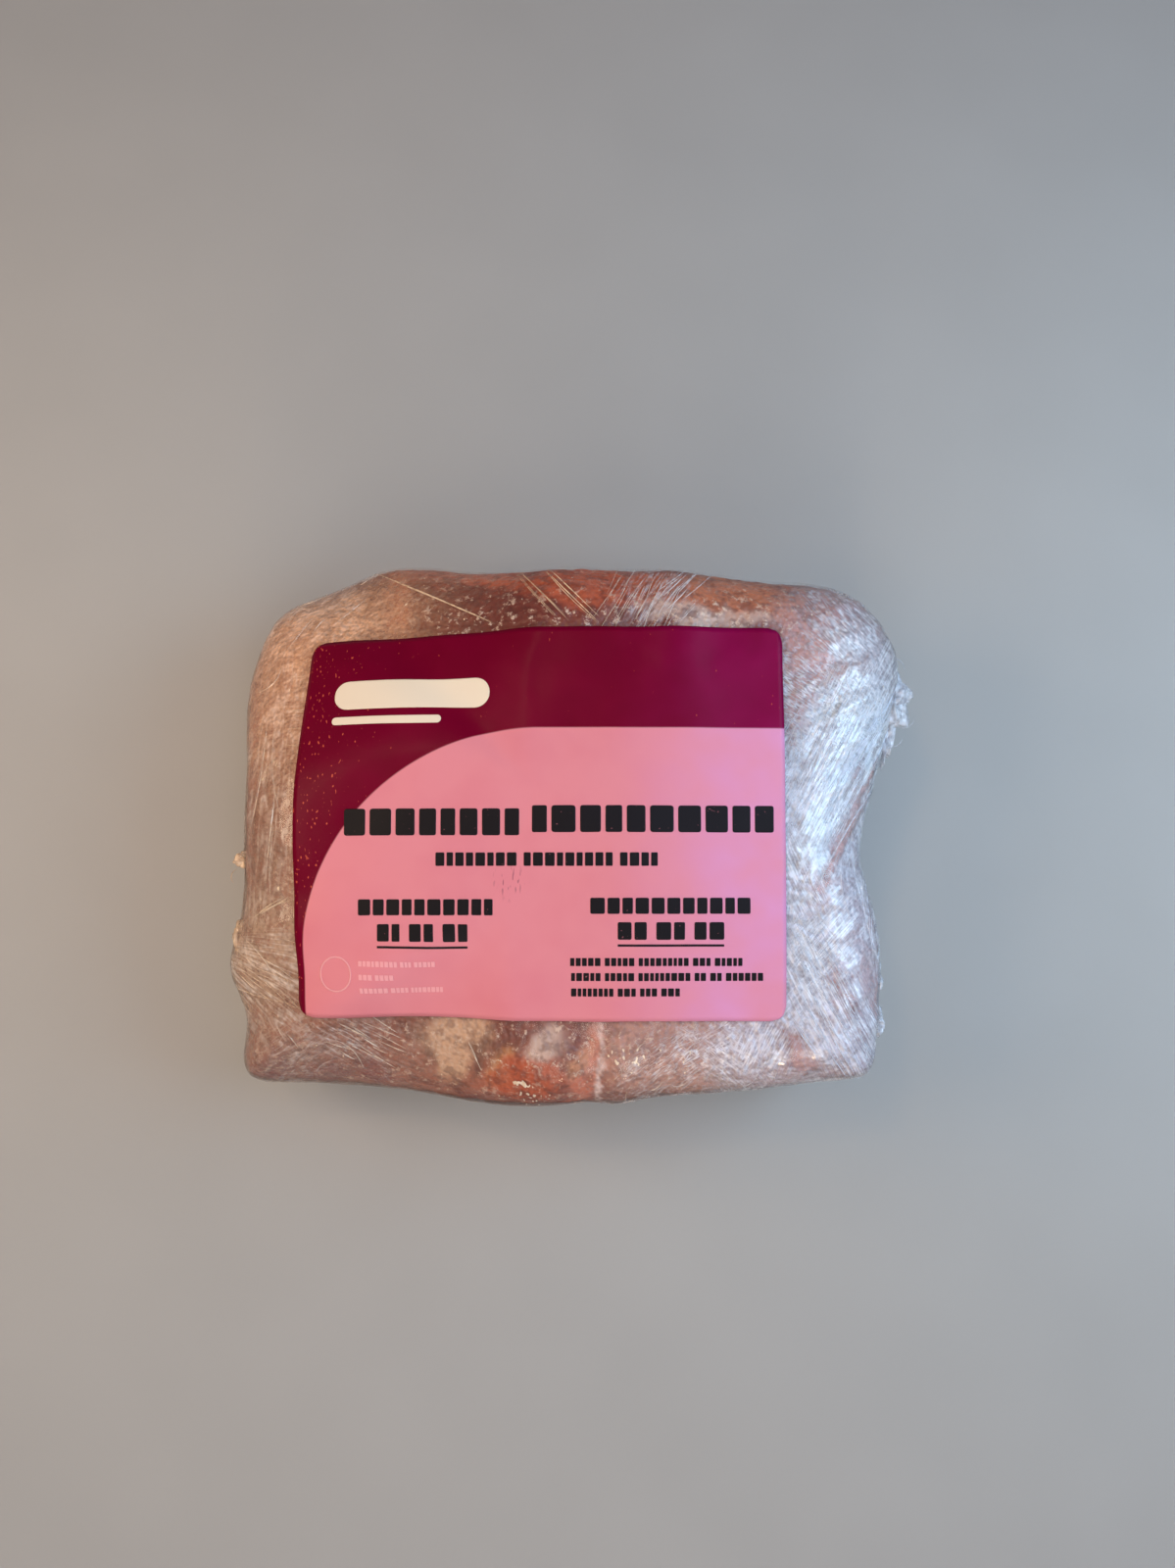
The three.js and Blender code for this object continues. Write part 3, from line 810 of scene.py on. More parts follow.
creases = {
    "seed": 3, "points": 13, "tallness": 0.55, "sink": 0.12,
    # Bundles of creases. stray is how far their headings differ in degrees, length the shortest and
    # longest, width their own in millimetres, and bow a share of the length.
    "bundles": [
        oval(-27, 47.2, 1.5, 0.25, -23, stray=0.6, count=3, length=(19, 25), width=0.26, bow=0.0),
        oval(-6.5, 48.4, 0.6, 1.2, -48, stray=2, count=4, length=(12, 16), width=0.2, bow=0.01),
        oval(0.4, 48, 0.5, 0.6, -46, stray=1.5, count=3, length=(15, 18), width=0.22, bow=0.01),
        oval(14, 46.8, 2.5, 4.8, 61, stray=4, count=22, length=(4, 13), width=0.17, bow=0.02),
        oval(23, 49, 2, 2.5, 47, stray=5, count=11, length=(4, 9), width=0.17, bow=0.03),
        oval(54, 12, 9, 5, 61, stray=4, count=84, length=(12, 38), width=0.28, bow=0.015),
        oval(47, 8, 13, 2.2, 66, stray=9, count=56, length=(4, 12), width=0.24, bow=0.03),
        oval(49, -24, 3, 4, 44, stray=6, count=12, length=(7, 15), width=0.22, bow=0.02),
        oval(50, -30, 6, 3.5, -62, stray=6, count=46, length=(8, 24), width=0.26, bow=0.02),
        oval(56, -43, 4, 4, -60, stray=7, count=36, length=(6, 16), width=0.28, bow=0.02),
        oval(61, -14, 6, 3, 99, stray=5, count=9, length=(12, 24), width=0.26, bow=0.05),
        oval(55, 22, 6, 6, -38, stray=25, count=26, length=(2.5, 7), width=0.2, bow=0.12),
        oval(38, -43, 4, 3, 58, stray=16, count=18, length=(2.5, 7), width=0.2, bow=0.08),
        oval(20, -46, 8, 4, 30, stray=50, count=26, length=(1.5, 5), width=0.15, bow=0.15),
        oval(-62, -30, 3, 3, -36, stray=9, count=12, length=(6, 19), width=0.2, bow=0.04),
        oval(-60.2, -16.6, 0.8, 0.5, 30, stray=5, count=3, length=(6, 9), width=0.32, bow=0.08),
        oval(-61, 8, 16, 4, 86, stray=4, count=8, length=(8, 22), width=0.22, bow=0.04),
        oval(-56, 24, 1.5, 7, 4, stray=6, count=9, length=(2.5, 6), width=0.2, bow=0.06),
        oval(-52, 42, 6, 4, 45, stray=10, count=9, length=(4, 10), width=0.18, bow=0.12),
        oval(-41, -42, 3, 2.2, -27, stray=4, count=13, length=(3, 10), width=0.17, bow=0.02),
        oval(-54, -41, 4, 3, -42, stray=8, count=6, length=(3, 9), width=0.18, bow=0.06),
        oval(-18, -46.5, 1, 0.6, -66, stray=5, count=2, length=(4, 5), width=0.18, bow=0.03),
    ],
    # near white crease colours, partly painted highlight, with painted warm lamp light at the left and
    # painted cool light at the right
    "warmLit": colour(250, 226, 196), "coolLit": colour(238, 244, 255), "opaque": 0.5,
    "torn": {"Size": 1.6, "Level": 0.38, "Softness": 0.2, "Detail": 0.0},
}


def sheetPlaces(x, y, sheet):
    # Points of the film sheet and its normals over places on the top and the shoulders. The grid's
    # own formulas give the fractional row, the even angles give the column, and four points blend.
    angle, radius = np.arctan2(y, x) % fullTurn, np.hypot(x, y)
    angles = np.append(evenAngles(film["columns"]), fullTurn)
    column = np.interp(angle, angles, np.arange(film["columns"] + 1))
    outline, width, rows = outlineRadius(angle), roundCompass(block["shoulderWidth"], angle), film["rows"]
    inner = 1 - np.sqrt(np.clip(1 - radius / (outline - width), 0, 1))
    outward = np.arcsin(np.clip(1 - (outline - radius) / width, 0, 1)) / (np.pi / 2)
    onShoulder = rows["top"] + rows["shoulder"] * outward
    row = np.where(radius < outline - width, rows["top"] * inner, onShoulder) - 1
    row = np.clip(row, 0, len(sheet) - 2)
    low, left = np.floor(row).astype(int), np.floor(column).astype(int) % film["columns"]
    right = (left + 1) % film["columns"]
    down, across = (row - low)[..., None], (column % 1)[..., None]

    def blended(grid):
        upper = grid[low, left] * (1 - across) + grid[low, right] * across
        lower = grid[low + 1, left] * (1 - across) + grid[low + 1, right] * across
        return upper * (1 - down) + lower * down

    return blended(sheet), blended(gridNormals(sheet))


def makeCreases(sheet):
    # Each crease is a closed three-sided strip that tapers as a sine to a point at both ends: two
    # edges just under the film and a ridge over it.
    random, steps = np.random.default_rng(creases["seed"]), creases["points"]
    starts, ways, lengths, widths, bows = [], [], [], [], []
    for each in creases["bundles"]:
        count, heading = each["count"], np.radians(each["heading"])
        way = np.array([np.cos(heading), np.sin(heading)])
        side = np.array([-way[1], way[0]])
        middle = np.array([each["x"], each["y"]]) + random.normal(0, each["long"], (count, 1)) * way
        starts.append(middle + random.normal(0, each["wide"], (count, 1)) * side)
        own = heading + np.radians(random.normal(0, each["stray"], count))
        ways.append(np.stack([np.cos(own), np.sin(own)], -1))
        lengths.append(random.uniform(*each["length"], count))
        widths.append(each["width"] * random.uniform(0.6, 1.25, count))
        bows.append(each["bow"] * random.normal(0, 1, count))
    start, way, length = np.concatenate(starts), np.concatenate(ways), np.concatenate(lengths)[:, None]
    width, bow = np.concatenate(widths), np.concatenate(bows)[:, None]
    t = np.linspace(-0.5, 0.5, steps)[None]
    along, aside = length * t, length * bow * (1 - 4 * t * t)
    seenX = start[:, :1] + along * way[:, :1] - aside * way[:, 1:]
    seenY = start[:, 1:] + along * way[:, 1:] + aside * way[:, :1]
    x, y = underSight(seenX, seenY)
    path, normal = sheetPlaces(x, y, sheet)
    forward = np.gradient(path, axis=1)
    aside = np.cross(forward, normal)
    aside = aside / np.maximum(np.linalg.norm(aside, axis=-1, keepdims=True), 1e-9)
    half = (width[:, None] / 2 * np.sin(np.pi * (t + 0.5)) ** 0.6)[..., None]
    ring = np.stack([path - aside * half - normal * creases["sink"],
                     path + aside * half - normal * creases["sink"],
                     path + normal * half * 2 * creases["tallness"]], axis=2)
    count = len(path)
    index = np.arange(count * steps * 3).reshape(count, steps, 3)
    after = np.roll(index, -1, axis=2)
    sides = np.stack([index[:, :-1], index[:, 1:], after[:, 1:], after[:, :-1]], -1).reshape(-1, 4)
    ends = np.concatenate([index[:, 0], index[:, -1, ::-1]])
    coolLitShare = easeStep(0, 45, ring[..., 0].reshape(-1))
    material = strandMaterial("filmCrease", creases)[0]
    addMesh("film_creases", ring.reshape(-1, 3), [sides, ends], material, smooth=False,
            attributes={"coolLit": coolLitShare})


def strandMaterial(name, piece):
    # Film seen edge on: near white, partly its own whiteness and partly painted highlight; warm at the left
    # and cool at the right as painted lamp light; and broken up by specks.
    material, tree, shader, place = newMaterial(name)
    tone = mixColour(tree, attribute(tree, "coolLit"), piece["warmLit"], piece["coolLit"])
    tree.links.new(tone, shader.inputs["Base Color"])
    torn = placeGroup(tree, specks, "Specks", Vector=place, **piece["torn"])
    tree.links.new(plus(tree, 0.35, times(tree, torn, piece["opaque"])), shader.inputs["Alpha"])
    setFinish(shader, {"Roughness": 0.25, "Coat Weight": 1.0, "Coat Roughness": 0.08})
    return material, tree, shader, place


# ---- loose tails of film

tails = {
    "around": 64, "along": 36,
    # middle, half sizes, heading, how deep it is crumpled
    "knots": [
        {"at": (70.0, 28.5, 40), "size": (4.6, 8.0, 6.0), "heading": 10, "crumple": 0.5},
        {"at": (73.0, 30.5, 37), "size": (3.0, 3.6, 4.0), "heading": 40, "crumple": 0.6},
        {"at": (69.0, 20.5, 38), "size": (2.2, 7.5, 5.0), "heading": -12, "crumple": 0.5},
        {"at": (69.0, 38.0, 38), "size": (2.4, 5.0, 4.5), "heading": 18, "crumple": 0.5},
        {"at": (-70.4, -5.9, 38), "size": (3.4, 2.2, 2.4), "heading": 184, "crumple": 0.4},
        {"at": (-69.0, -24.0, 38), "size": (4.0, 7.0, 6.0), "heading": 0, "crumple": 0.4},
        {"at": (65.6, -31.8, 35), "size": (2.6, 5.0, 4.0), "heading": -8, "crumple": 0.5},
        {"at": (66.4, -40.5, 33), "size": (2.2, 4.2, 4.0), "heading": 10, "crumple": 0.5},
    ],
    # loose threads: where each starts, its heading and rise, its length and how far it turns
    "threads": [
        {"at": (68.5, 34.0, 42), "heading": 35, "rise": 20, "length": 9, "turn": 150},
        {"at": (69.5, 37.0, 38), "heading": 70, "rise": 5, "length": 7, "turn": -160},
        {"at": (71.0, 30.0, 41), "heading": 15, "rise": 15, "length": 6, "turn": 170},
        {"at": (71.0, 24.0, 40), "heading": -60, "rise": 5, "length": 6, "turn": 140},
        {"at": (71.5, 33.0, 36), "heading": 0, "rise": 25, "length": 5, "turn": -150},
        {"at": (69.5, 19.5, 38), "heading": -40, "rise": 0, "length": 5, "turn": 120},
        {"at": (-72.5, -8.0, 38), "heading": 200, "rise": 10, "length": 4, "turn": 120},
    ],
    "threadWidth": 0.16, "threadPoints": 18, "crinkleScale": 900.0,
    # near white tail colours, with painted warm lamp light at the left and painted cool light at the right
    "warmLit": colour(232, 200, 166), "coolLit": colour(230, 230, 236), "opaque": 0.45,
    "torn": {"Size": 2.0, "Level": 0.36, "Softness": 0.25, "Detail": 1.0},
}


def makeKnots():
    # Each knot is a closed ball of its own half sizes, its radius crumpled by folded noise.
    around, along = tails["around"], tails["along"]
    turn = np.arange(around) / around * fullTurn
    rise = (np.arange(along) + 0.5) / along * np.pi
    level, height = np.sin(rise)[:, None], np.cos(rise)[:, None]
    way = np.stack(np.broadcast_arrays(level * np.cos(turn), level * np.sin(turn), height), -1)
    points, faces, offset = [], [[], []], 0
    for i, each in enumerate(tails["knots"]):
        broad, fine = cloud(way * 1.2 + 7.1 * i, 1, 2), cloud(way * 3.5 + 3.3 * i, 1, 2)
        folds = 1.1 - 1.3 * np.abs(broad) - 0.4 * np.abs(fine)
        ball = way * (1 - each["crumple"] + each["crumple"] * folds)[..., None] * each["size"]
        cos, sin = np.cos(np.radians(each["heading"])), np.sin(np.radians(each["heading"]))
        turned = np.stack([ball[..., 0] * cos - ball[..., 1] * sin, ball[..., 0] * sin + ball[..., 1] * cos,
                           ball[..., 2]], -1)
        closed, (quads, fans) = closedSkin(turned + each["at"])
        points.append(closed)
        faces[0].append(quads + offset)
        faces[1].append(fans + offset)
        offset += len(closed)
    points = np.concatenate(points)
    addMesh("film_knots", points, [np.concatenate(faces[0]), np.concatenate(faces[1])], makeTailMaterial(),
            attributes={"coolLit": easeStep(0, 45, points[:, 0])})


def makeThreads():
    # Thin three-sided strands, each on an arc that turns evenly along its length.
    t = np.linspace(0, 1, tails["threadPoints"])
    rings = []
    for each in tails["threads"]:
        heading = np.radians(each["heading"] + each["turn"] * t)
        climb = np.full_like(t, np.tan(np.radians(each["rise"])))
        step = np.stack([np.cos(heading), np.sin(heading), climb], -1)
        path = np.array(each["at"]) + np.cumsum(step, axis=0) * each["length"] / len(t)
        side = np.cross(step, [0, 0, 1.0])
        side = side / np.linalg.norm(side, axis=-1, keepdims=True)
        half = (tails["threadWidth"] / 2 * (0.25 + np.sin(np.pi * t)))[:, None]
        rings.append(np.stack([path - side * half, path + side * half, path + [0, 0, 1.6] * half], axis=1))
    rings = np.stack(rings)
    index = np.arange(rings[..., 0].size).reshape(rings.shape[:3])
    after = np.roll(index, -1, axis=2)
    sides = np.stack([index[:, :-1], index[:, 1:], after[:, 1:], after[:, :-1]], -1).reshape(-1, 4)
    ends = np.concatenate([index[:, 0], index[:, -1, ::-1]])
    addMesh("film_threads", rings.reshape(-1, 3), [sides, ends], makeTailMaterial(),
            attributes={"coolLit": easeStep(0, 45, rings[..., 0].ravel())})


def makeTailMaterial():
    material, tree, shader, place = strandMaterial("filmTail", tails)
    addBump(tree, shader, noise(tree, place, tails["crinkleScale"], 2.0), 0.5, 0.0006)
    return material


# ---- the label

label = {
    "width": 100, "height": 80, "cornerRadius": 3, "x": -6.2, "y": 0.5, "gap": 0.4, "thickness": 0.25,
    "columns": 170, "rows": 136,
    "wine": colour(108, 0, 34), "pink": colour(224, 136, 144), "ink": colour(14, 8, 12),
    # wineCoolSheen and pinkCoolSheen are the painted cool sheen that both fields turn to at the right
    "wineCoolSheen": colour(134, 6, 74), "winePale": colour(140, 6, 52), "pinkCoolSheen": colour(222, 152, 196),
    "pinkDeep": colour(216, 122, 134),
    "cream": colour(240, 222, 196), "pale": colour(238, 164, 168),
    # the glitter colour and share, and paintedGlintsFrom, are for painted glints of a warm lamp on the wine
    # field
    "scuffed": colour(120, 66, 84), "paintedGlint": colour(206, 90, 66), "paintedGlintShare": 0.22,
    # coolSheenFrom is where the painted cool sheen ramps in, in label coordinates
    "coolSheenFrom": (12.0, 44.0), "paintedGlintsFrom": (-26.0, -44.0), "mottleScale": 70.0,
    "finish": {"Roughness": 0.32, "Specular IOR Level": 0.07},
    # a scuffed place, in label coordinates
    "scuff": (-5.7, -12.3, 0), "scuffLong": 4.2,
    # the pink field: right of the oval's middle it ends at the oval's top, and under it at its left end
    "ovalX": 0.2, "ovalY": -28.5, "ovalWide": 48.65, "ovalHigh": 47.5,
}


def pressOn(across, along, lift):
    # Walks from the label's middle straight to each point in short steps, each shortened by the climb,
    # and stands off the face along its normal by the lift.
    distance = np.hypot(across, along)
    wayX, wayY = across / np.maximum(distance, 1e-6), along / np.maximum(distance, 1e-6)
    x, y = np.full_like(distance, label["x"]), np.full_like(distance, label["y"])
    steps, near = 40, 0.2

    def slopes():
        return ((topHeight(x + near, y) - topHeight(x - near, y)) / (2 * near),
                (topHeight(x, y + near) - topHeight(x, y - near)) / (2 * near))

    for i in range(steps):
        slopeX, slopeY = slopes()
        climb = slopeX * wayX + slopeY * wayY
        step = distance / steps / np.sqrt(1 + climb * climb)
        x, y = x + wayX * step, y + wayY * step
    slopeX, slopeY = slopes()
    length = np.sqrt(slopeX ** 2 + slopeY ** 2 + 1)
    z = topHeight(x, y) + lift / length
    return np.stack([x - slopeX / length * lift, y - slopeY / length * lift, z], -1)


def roundedGrid(width, height, radius, columns, rows, cornerSteps=2):
    # A grid over a rectangle, its points outside a rounded corner pulled in onto the arc.
    def lines(size, count):
        inner = np.linspace(-size / 2 + radius, size / 2 - radius, count + 1)
        edge = size / 2 - radius * (np.arange(cornerSteps) / cornerSteps) ** 1.5
        return np.concatenate([-edge, inner, edge[::-1]])

    across, along = np.meshgrid(lines(width, columns), lines(height, rows))
    overX = np.maximum(np.abs(across) - (width / 2 - radius), 0)
    overY = np.maximum(np.abs(along) - (height / 2 - radius), 0)
    pull = radius / np.maximum(np.hypot(overX, overY), radius)
    across = np.sign(across) * (np.minimum(np.abs(across), width / 2 - radius) + overX * pull)
    along = np.sign(along) * (np.minimum(np.abs(along), height / 2 - radius) + overY * pull)
    return across, along


def thinSheet(across, along, bottom, top):
    # A closed thin sheet over one grid, or over many equal grids at once: a layer of points at each
    # lift, quads on both layers and round the rim.
    many = across.reshape(-1, *across.shape[-2:])
    count, high, wide = many.shape
    flatX, flatY = across.ravel(), along.ravel()
    layer = len(flatX)
    pressed = pressOn(flatX, flatY, 0 * flatX)
    normal = pressOn(flatX, flatY, 0 * flatX + 1) - pressed
    points = np.concatenate([pressed + normal * bottom, pressed + normal * top])
    index = np.arange(layer).reshape(count, high, wide)
    a, b, c, d = index[:, :-1, :-1], index[:, :-1, 1:], index[:, 1:, 1:], index[:, 1:, :-1]
    upper = np.stack([a, b, c, d], -1).reshape(-1, 4) + layer
    lower = np.stack([a, d, c, b], -1).reshape(-1, 4)
    edges = [index[:, 0, :-1], index[:, :-1, -1], index[:, -1, :0:-1], index[:, :0:-1, 0]]
    rim = np.concatenate(edges, axis=1)
    after = np.roll(rim, -1, axis=1)
    sides = np.stack([rim, after, after + layer, rim + layer], -1).reshape(-1, 4)
    sheet = np.stack([flatX, flatY, 0 * flatX], -1)
    return points, [np.concatenate([upper, lower, sides])], np.concatenate([sheet, sheet])


def makeLabelMaterial():
    # Pink inside a shape that is an oval's quarter at the upper left and straight everywhere else.
    # Towards the right both fields take on a painted cool sheen, made patchy by broad noise, and both are a
    # little uneven by broad noise.
    material, tree, shader, place = newMaterial("labelPaper")
    flat = attribute(tree, "sheet", "Vector")
    sheet = addNode(tree, "ShaderNodeSeparateXYZ", Vector=flat)
    x, y = sheet.outputs[0], sheet.outputs[1]
    overX = maths(tree, "MINIMUM", maths(tree, "SUBTRACT", x, label["ovalX"]), 0.0)
    overY = maths(tree, "MAXIMUM", maths(tree, "SUBTRACT", y, label["ovalY"]), 0.0)
    dx = maths(tree, "DIVIDE", overX, label["ovalWide"])
    dy = maths(tree, "DIVIDE", overY, label["ovalHigh"])
    reach = maths(tree, "SQRT", plus(tree, times(tree, dx, dx), times(tree, dy, dy)))
    inOval = ramp(tree, reach, 1.003, 0.997)
    mottle = noise(tree, place, label["mottleScale"], 2.0, Roughness=0.7)
    uneven = maths(tree, "MULTIPLY", maths(tree, "SUBTRACT", mottle, 0.42), 0.6, clamp=True)
    # painted cool sheen: the print turns bluer towards the right end, as a cool light's reflection
    coolLightToRight = ramp(tree, x, *label["coolSheenFrom"], "SMOOTHSTEP")
    paintedCoolSheen = times(tree, coolLightToRight, times(tree, mottle, 1.25))
    wineWithSheen = mixColour(tree, paintedCoolSheen, label["wine"], label["wineCoolSheen"])
    wine = mixColour(tree, uneven, wineWithSheen, label["winePale"])
    pinkLeft = mixColour(tree, times(tree, uneven, 2.5), label["pink"], label["pinkDeep"])
    printed = mixColour(tree, inOval, wine, mixColour(tree, paintedCoolSheen, pinkLeft, label["pinkCoolSheen"]))
    # short upright scratches near one place
    away = addNode(tree, "ShaderNodeVectorMath", {"operation": "DISTANCE"}, i0=flat, i1=label["scuff"])
    near = ramp(tree, away.outputs["Value"], label["scuffLong"], 0.5)
    scratches = placeGroup(tree, specks, "Specks", Vector=stretched(tree, flat, (1.5, 0.35, 1)), Size=1000.0,
                           Level=0.58, Softness=0.05, Detail=1.0)
    marked = mixColour(tree, times(tree, times(tree, near, scratches), 0.8), printed, label["scuffed"])
    # painted glints of a warm lamp on the left end of the wine field
    share = times(tree, ramp(tree, x, *label["paintedGlintsFrom"]), label["paintedGlintShare"])
    paintedSparks = placeGroup(tree, paintedGlint, "GlintPaint", Vector=place, Size=0.42, Share=share)
    onWine = maths(tree, "SUBTRACT", 0.9, inOval, clamp=True)
    lit = mixColour(tree, times(tree, paintedSparks, onWine), marked, label["paintedGlint"])
    tree.links.new(lit, shader.inputs["Base Color"])
    setFinish(shader, label["finish"])
    addBump(tree, shader, mottle, 0.5, 0.0006)
    return material


def makeLabel():
    size = [label[key] for key in ("width", "height", "cornerRadius", "columns", "rows")]
    across, along = roundedGrid(*size)
    points, faces, sheet = thinSheet(across, along, label["gap"], label["gap"] + label["thickness"])
    piece = addMesh("paper_label", points, faces, makeLabelMaterial(),
                    attributes={"sheet": sheet})
    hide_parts("label")


# Lines of print: plain rounded blocks in the places, sizes and weights of words, with no lettering.
# left and right ends, middle height, block height, how many blocks in each word.
printing = {
    "lines": [
        {"from": -39.3, "to": -3.8, "y": -0.1, "high": 5.4, "words": [8]},
        {"from": -1.2, "to": 47.6, "y": 0.5, "high": 5.4, "words": [10]},
        {"from": -20.6, "to": 24.0, "y": -7.6, "high": 2.7, "words": [8, 9, 4]},
        {"from": -36.3, "to": -9.1, "y": -17.2, "high": 3.2, "words": [10]},
        {"from": -32.4, "to": -14.2, "y": -22.3, "high": 3.5, "words": [2, 2, 2]},
        {"from": 10.5, "to": 42.7, "y": -16.9, "high": 3.2, "words": [11]},
        {"from": 16.0, "to": 37.4, "y": -21.9, "high": 3.5, "words": [2, 2, 2]},
        {"from": 6.5, "to": 41.1, "y": -28.1, "high": 1.6, "words": [5, 5, 9, 3, 5]},
        {"from": 6.7, "to": 45.3, "y": -31.1, "high": 1.6, "words": [5, 5, 9, 2, 2, 6]},
        {"from": 6.7, "to": 28.5, "y": -34.2, "high": 1.6, "words": [8, 3, 3, 3]},
    ],
    "underlines": [
        {"x": -23.3, "y": -25.2, "wide": 18.2, "high": 0.45},
        {"x": 26.7, "y": -24.8, "wide": 21.4, "high": 0.45},
    ],
    "faintLines": [
        {"from": -36.4, "to": -21.0, "y": -28.6, "high": 1.1, "words": [9, 3, 5]},
        {"from": -36.4, "to": -29.5, "y": -31.3, "high": 1.1, "words": [3, 4]},
        {"from": -36.4, "to": -19.6, "y": -34.0, "high": 1.1, "words": [6, 4, 8]},
    ],
    "ring": {"x": -41.4, "y": -30.8, "wide": 7.0, "high": 7.4, "line": 0.35, "steps": 64},
    "blockGap": 0.17,  # share of the block height
    "wordGap": 0.55,
    "lift": 0.03, "thickness": 0.03, "seed": 5,
}


def wordBlocks(line, random):
    # Splits a line's length over its blocks by seeded random shares, after taking off all the gaps.
    gap, space = printing["blockGap"] * line["high"], printing["wordGap"] * line["high"]
    count = sum(line["words"])
    shares = random.uniform(0.75, 1.25, count)
    room = line["to"] - line["from"] - gap * (count - len(line["words"])) - space * (len(line["words"]) - 1)
    widths = room * shares / shares.sum()
    wordStarts = np.cumsum(line["words"])[:-1]
    gaps = np.full(count, gap)
    gaps[0] = 0
    gaps[wordStarts] = space
    starts = line["from"] + np.cumsum(gaps) + np.cumsum(widths) - widths
    return [{"x": start + width / 2, "y": line["y"], "wide": width, "high": line["high"]}
            for start, width in zip(starts, widths)]


def makePrint(name, shapes, material, cornerShare=0.12, cells=3, cornerSteps=2):
    radii = [min(each["wide"], each["high"]) * cornerShare for each in shapes]
    grids = [roundedGrid(each["wide"], each["high"], radius, cells, cells, cornerSteps)
             for each, radius in zip(shapes, radii)]
    across = np.stack([grid[0] + each["x"] for grid, each in zip(grids, shapes)])
    along = np.stack([grid[1] + each["y"] for grid, each in zip(grids, shapes)])
    bottom = label["gap"] + label["thickness"] + printing["lift"]
    points, faces, sheet = thinSheet(across, along, bottom, bottom + printing["thickness"])
    addMesh(name, points, faces, material)


def makeRing(material):
    # A flat closed ring on an ellipse: four rims, inner and outer, below and above.
    ring, bottom = printing["ring"], label["gap"] + label["thickness"] + printing["lift"]
    turn = np.arange(ring["steps"]) / ring["steps"] * fullTurn
    rims, thick = [], printing["thickness"]
    for narrower, lift in ((ring["line"], 0), (0, 0), (0, thick), (ring["line"], thick)):
        across = ring["x"] + (ring["wide"] / 2 - narrower) * np.cos(turn)
        along = ring["y"] + (ring["high"] / 2 - narrower) * np.sin(turn)
        rims.append(pressOn(across, along, bottom + lift + 0 * turn))
    points = np.stack(rims, axis=1)
    index = np.arange(points[..., 0].size).reshape(-1, 4)
    onward, beside = np.roll(index, -1, axis=0), np.roll(index, -1, axis=1)
    faces = np.stack([index, onward, np.roll(onward, -1, axis=1), beside], -1).reshape(-1, 4)
    addMesh("print_ring", points.reshape(-1, 3), [faces], material)


def makeInk(name, ink, scuffed):
    # Ink with worn flecks, where the colour under it shows through.
    material, tree, shader, place = newMaterial(name)
    wear = placeGroup(tree, specks, "Specks", Vector=place, Size=0.9, Level=0.7, Softness=0.05, Detail=2.0)
    worn = mixColour(tree, times(tree, wear, scuffed), ink, label["pink"])
    tree.links.new(worn, shader.inputs["Base Color"])
    tree.links.new(plus(tree, 0.5, times(tree, wear, 0.3)), shader.inputs["Roughness"])
    setFinish(shader, {"Specular IOR Level": 0.2})
    return material


def makePrinting():
    random = np.random.default_rng(printing["seed"])
    blocks = [each for line in printing["lines"] for each in wordBlocks(line, random)]
    ink = makeInk("blackInk", label["ink"], 0.35)
    makePrint("print_blocks", blocks, ink)
    makePrint("print_underlines", printing["underlines"], ink, 0.12, 16)
    creamShapes = [
        {"x": -26.5, "y": 26.6, "wide": 33, "high": 6.4},
        {"x": -31.5, "y": 20.9, "wide": 23, "high": 1.7},
    ]
    cream = makeInk("creamInk", label["cream"], 0.0)
    makePrint("print_cream", creamShapes, cream, 0.49, 14, 6)
    pale = makeInk("paleInk", label["pale"], 0.0)
    faint = [each for line in printing["faintLines"] for each in wordBlocks(line, random)]
    makePrint("print_faint", faint, pale)
    makeRing(pale)


# ---- floor, light and camera

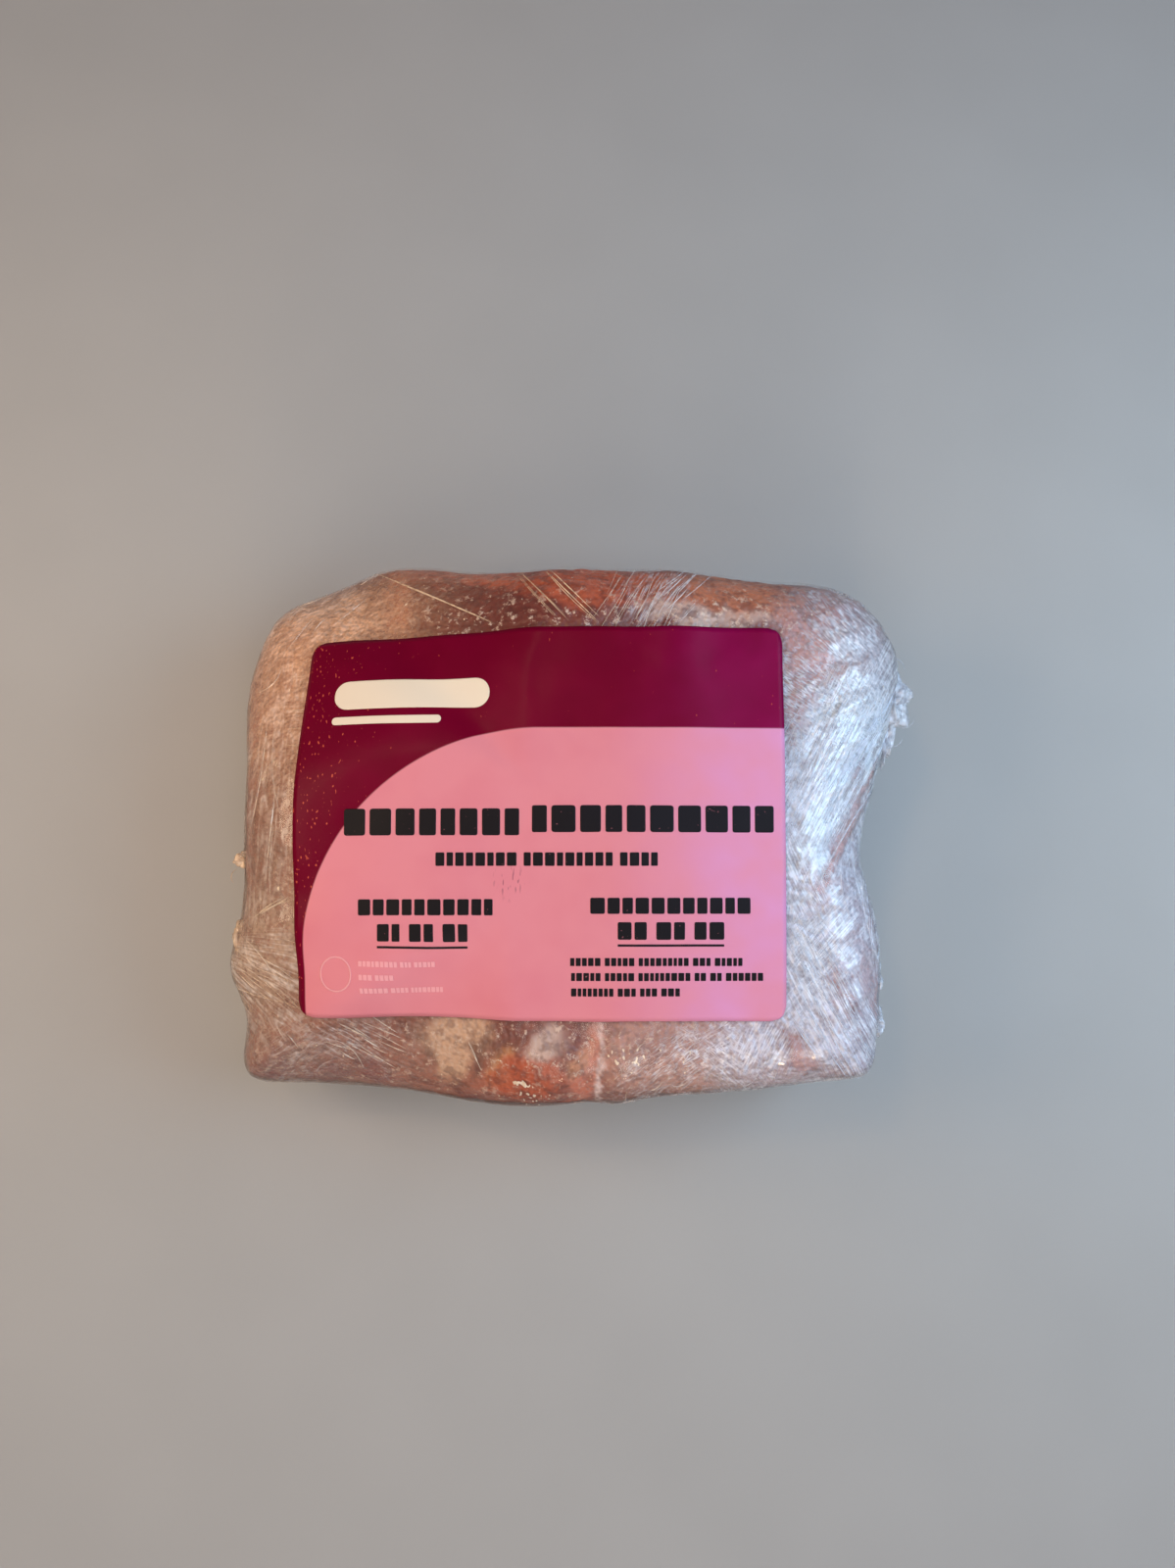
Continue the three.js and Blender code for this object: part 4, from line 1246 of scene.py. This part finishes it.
studio = {
    "floor": colour(172, 170, 166), "floorStain": colour(150, 148, 144),
    "world": (0.80, 0.86, 0.95), "worldStrength": 0.2,
    "lights": [
        {"name": "warmLeft", "from": (-0.27, 0.03, 0.29), "size": (0.2, 0.2), "power": 0.62,
         "tint": (1.0, 0.74, 0.50)},
        {"name": "coolRight", "from": (0.27, 0.03, 0.27), "size": (0.24, 0.24), "power": 0.9,
         "tint": (0.50, 0.76, 1.0)},
        {"name": "coolSheen", "from": (0.31, 0.10, 1.0), "size": (0.36, 0.60), "power": 1.3,
         "tint": (0.62, 0.60, 1.0)},
        {"name": "softFront", "from": (-0.05, -0.62, 0.62), "size": (0.45, 0.45), "power": 2.0,
         "tint": (1.0, 0.92, 0.84)},
        {"name": "glintBack", "from": (-0.15, 0.17, 0.62), "size": (0.07, 0.07), "power": 0.35,
         "tint": (1.0, 0.70, 0.42)},
        {"name": "glintFront", "from": (0.02, -0.75, 0.34), "size": (0.08, 0.08), "power": 0.5,
         "tint": (1.0, 0.72, 0.45)},
    ],
}


def makeStudio():
    size = 1.5
    mesh = bpy.data.meshes.new("floor")
    corners = [(-size, -size, 0), (size, -size, 0), (size, size, 0), (-size, size, 0)]
    mesh.from_pydata(corners, [], [(0, 1, 2, 3)])
    material, tree, shader, place = newMaterial("paleFloor")
    grain = noise(tree, place, 30.0, 1.0)
    tone = mixColour(tree, times(tree, grain, 0.3), studio["floor"], studio["floorStain"])
    tree.links.new(tone, shader.inputs["Base Color"])
    setFinish(shader, {"Roughness": 0.7})
    mesh.materials.append(material)
    floor = bpy.data.objects.new("floor", mesh)
    bpy.context.scene.collection.objects.link(floor)
    world = bpy.data.worlds.new("studio")
    world.use_nodes = True
    world.node_tree.nodes["Background"].inputs[0].default_value = (*studio["world"], 1)
    world.node_tree.nodes["Background"].inputs[1].default_value = studio["worldStrength"]
    bpy.context.scene.world = world
    for each in studio["lights"]:
        light = bpy.data.lights.new(each["name"], "AREA")
        light.shape, light.energy, light.color = "RECTANGLE", each["power"], each["tint"]
        light.size, light.size_y = each["size"]
        lamp = bpy.data.objects.new(each["name"], light)
        bpy.context.scene.collection.objects.link(lamp)
        lamp.location = each["from"]
        lamp.rotation_euler = (-lamp.location).to_track_quat("-Z", "Y").to_euler()


def makeCamera():
    camera = bpy.data.cameras.new("camera")
    camera.lens, camera.sensor_width, camera.clip_start = view["lens"], view["sensor"], 0.01
    eye = bpy.data.objects.new("camera", camera)
    bpy.context.scene.collection.objects.link(eye)
    eye.location = ((view["x"] + core[0]) * mm, (view["y"] + core[1]) * mm, view["z"] * mm)
    eye.rotation_euler = (np.radians(view["tilt"]), 0, 0)
    bpy.context.scene.camera = eye
    bpy.context.scene.view_settings.view_transform = "Standard"


makeCamera()
makeStudio()
makeMeat()
filmSheet = makeFilm()
makeCreases(filmSheet)
makeKnots()
makeThreads()
makeLabel()
makePrinting()
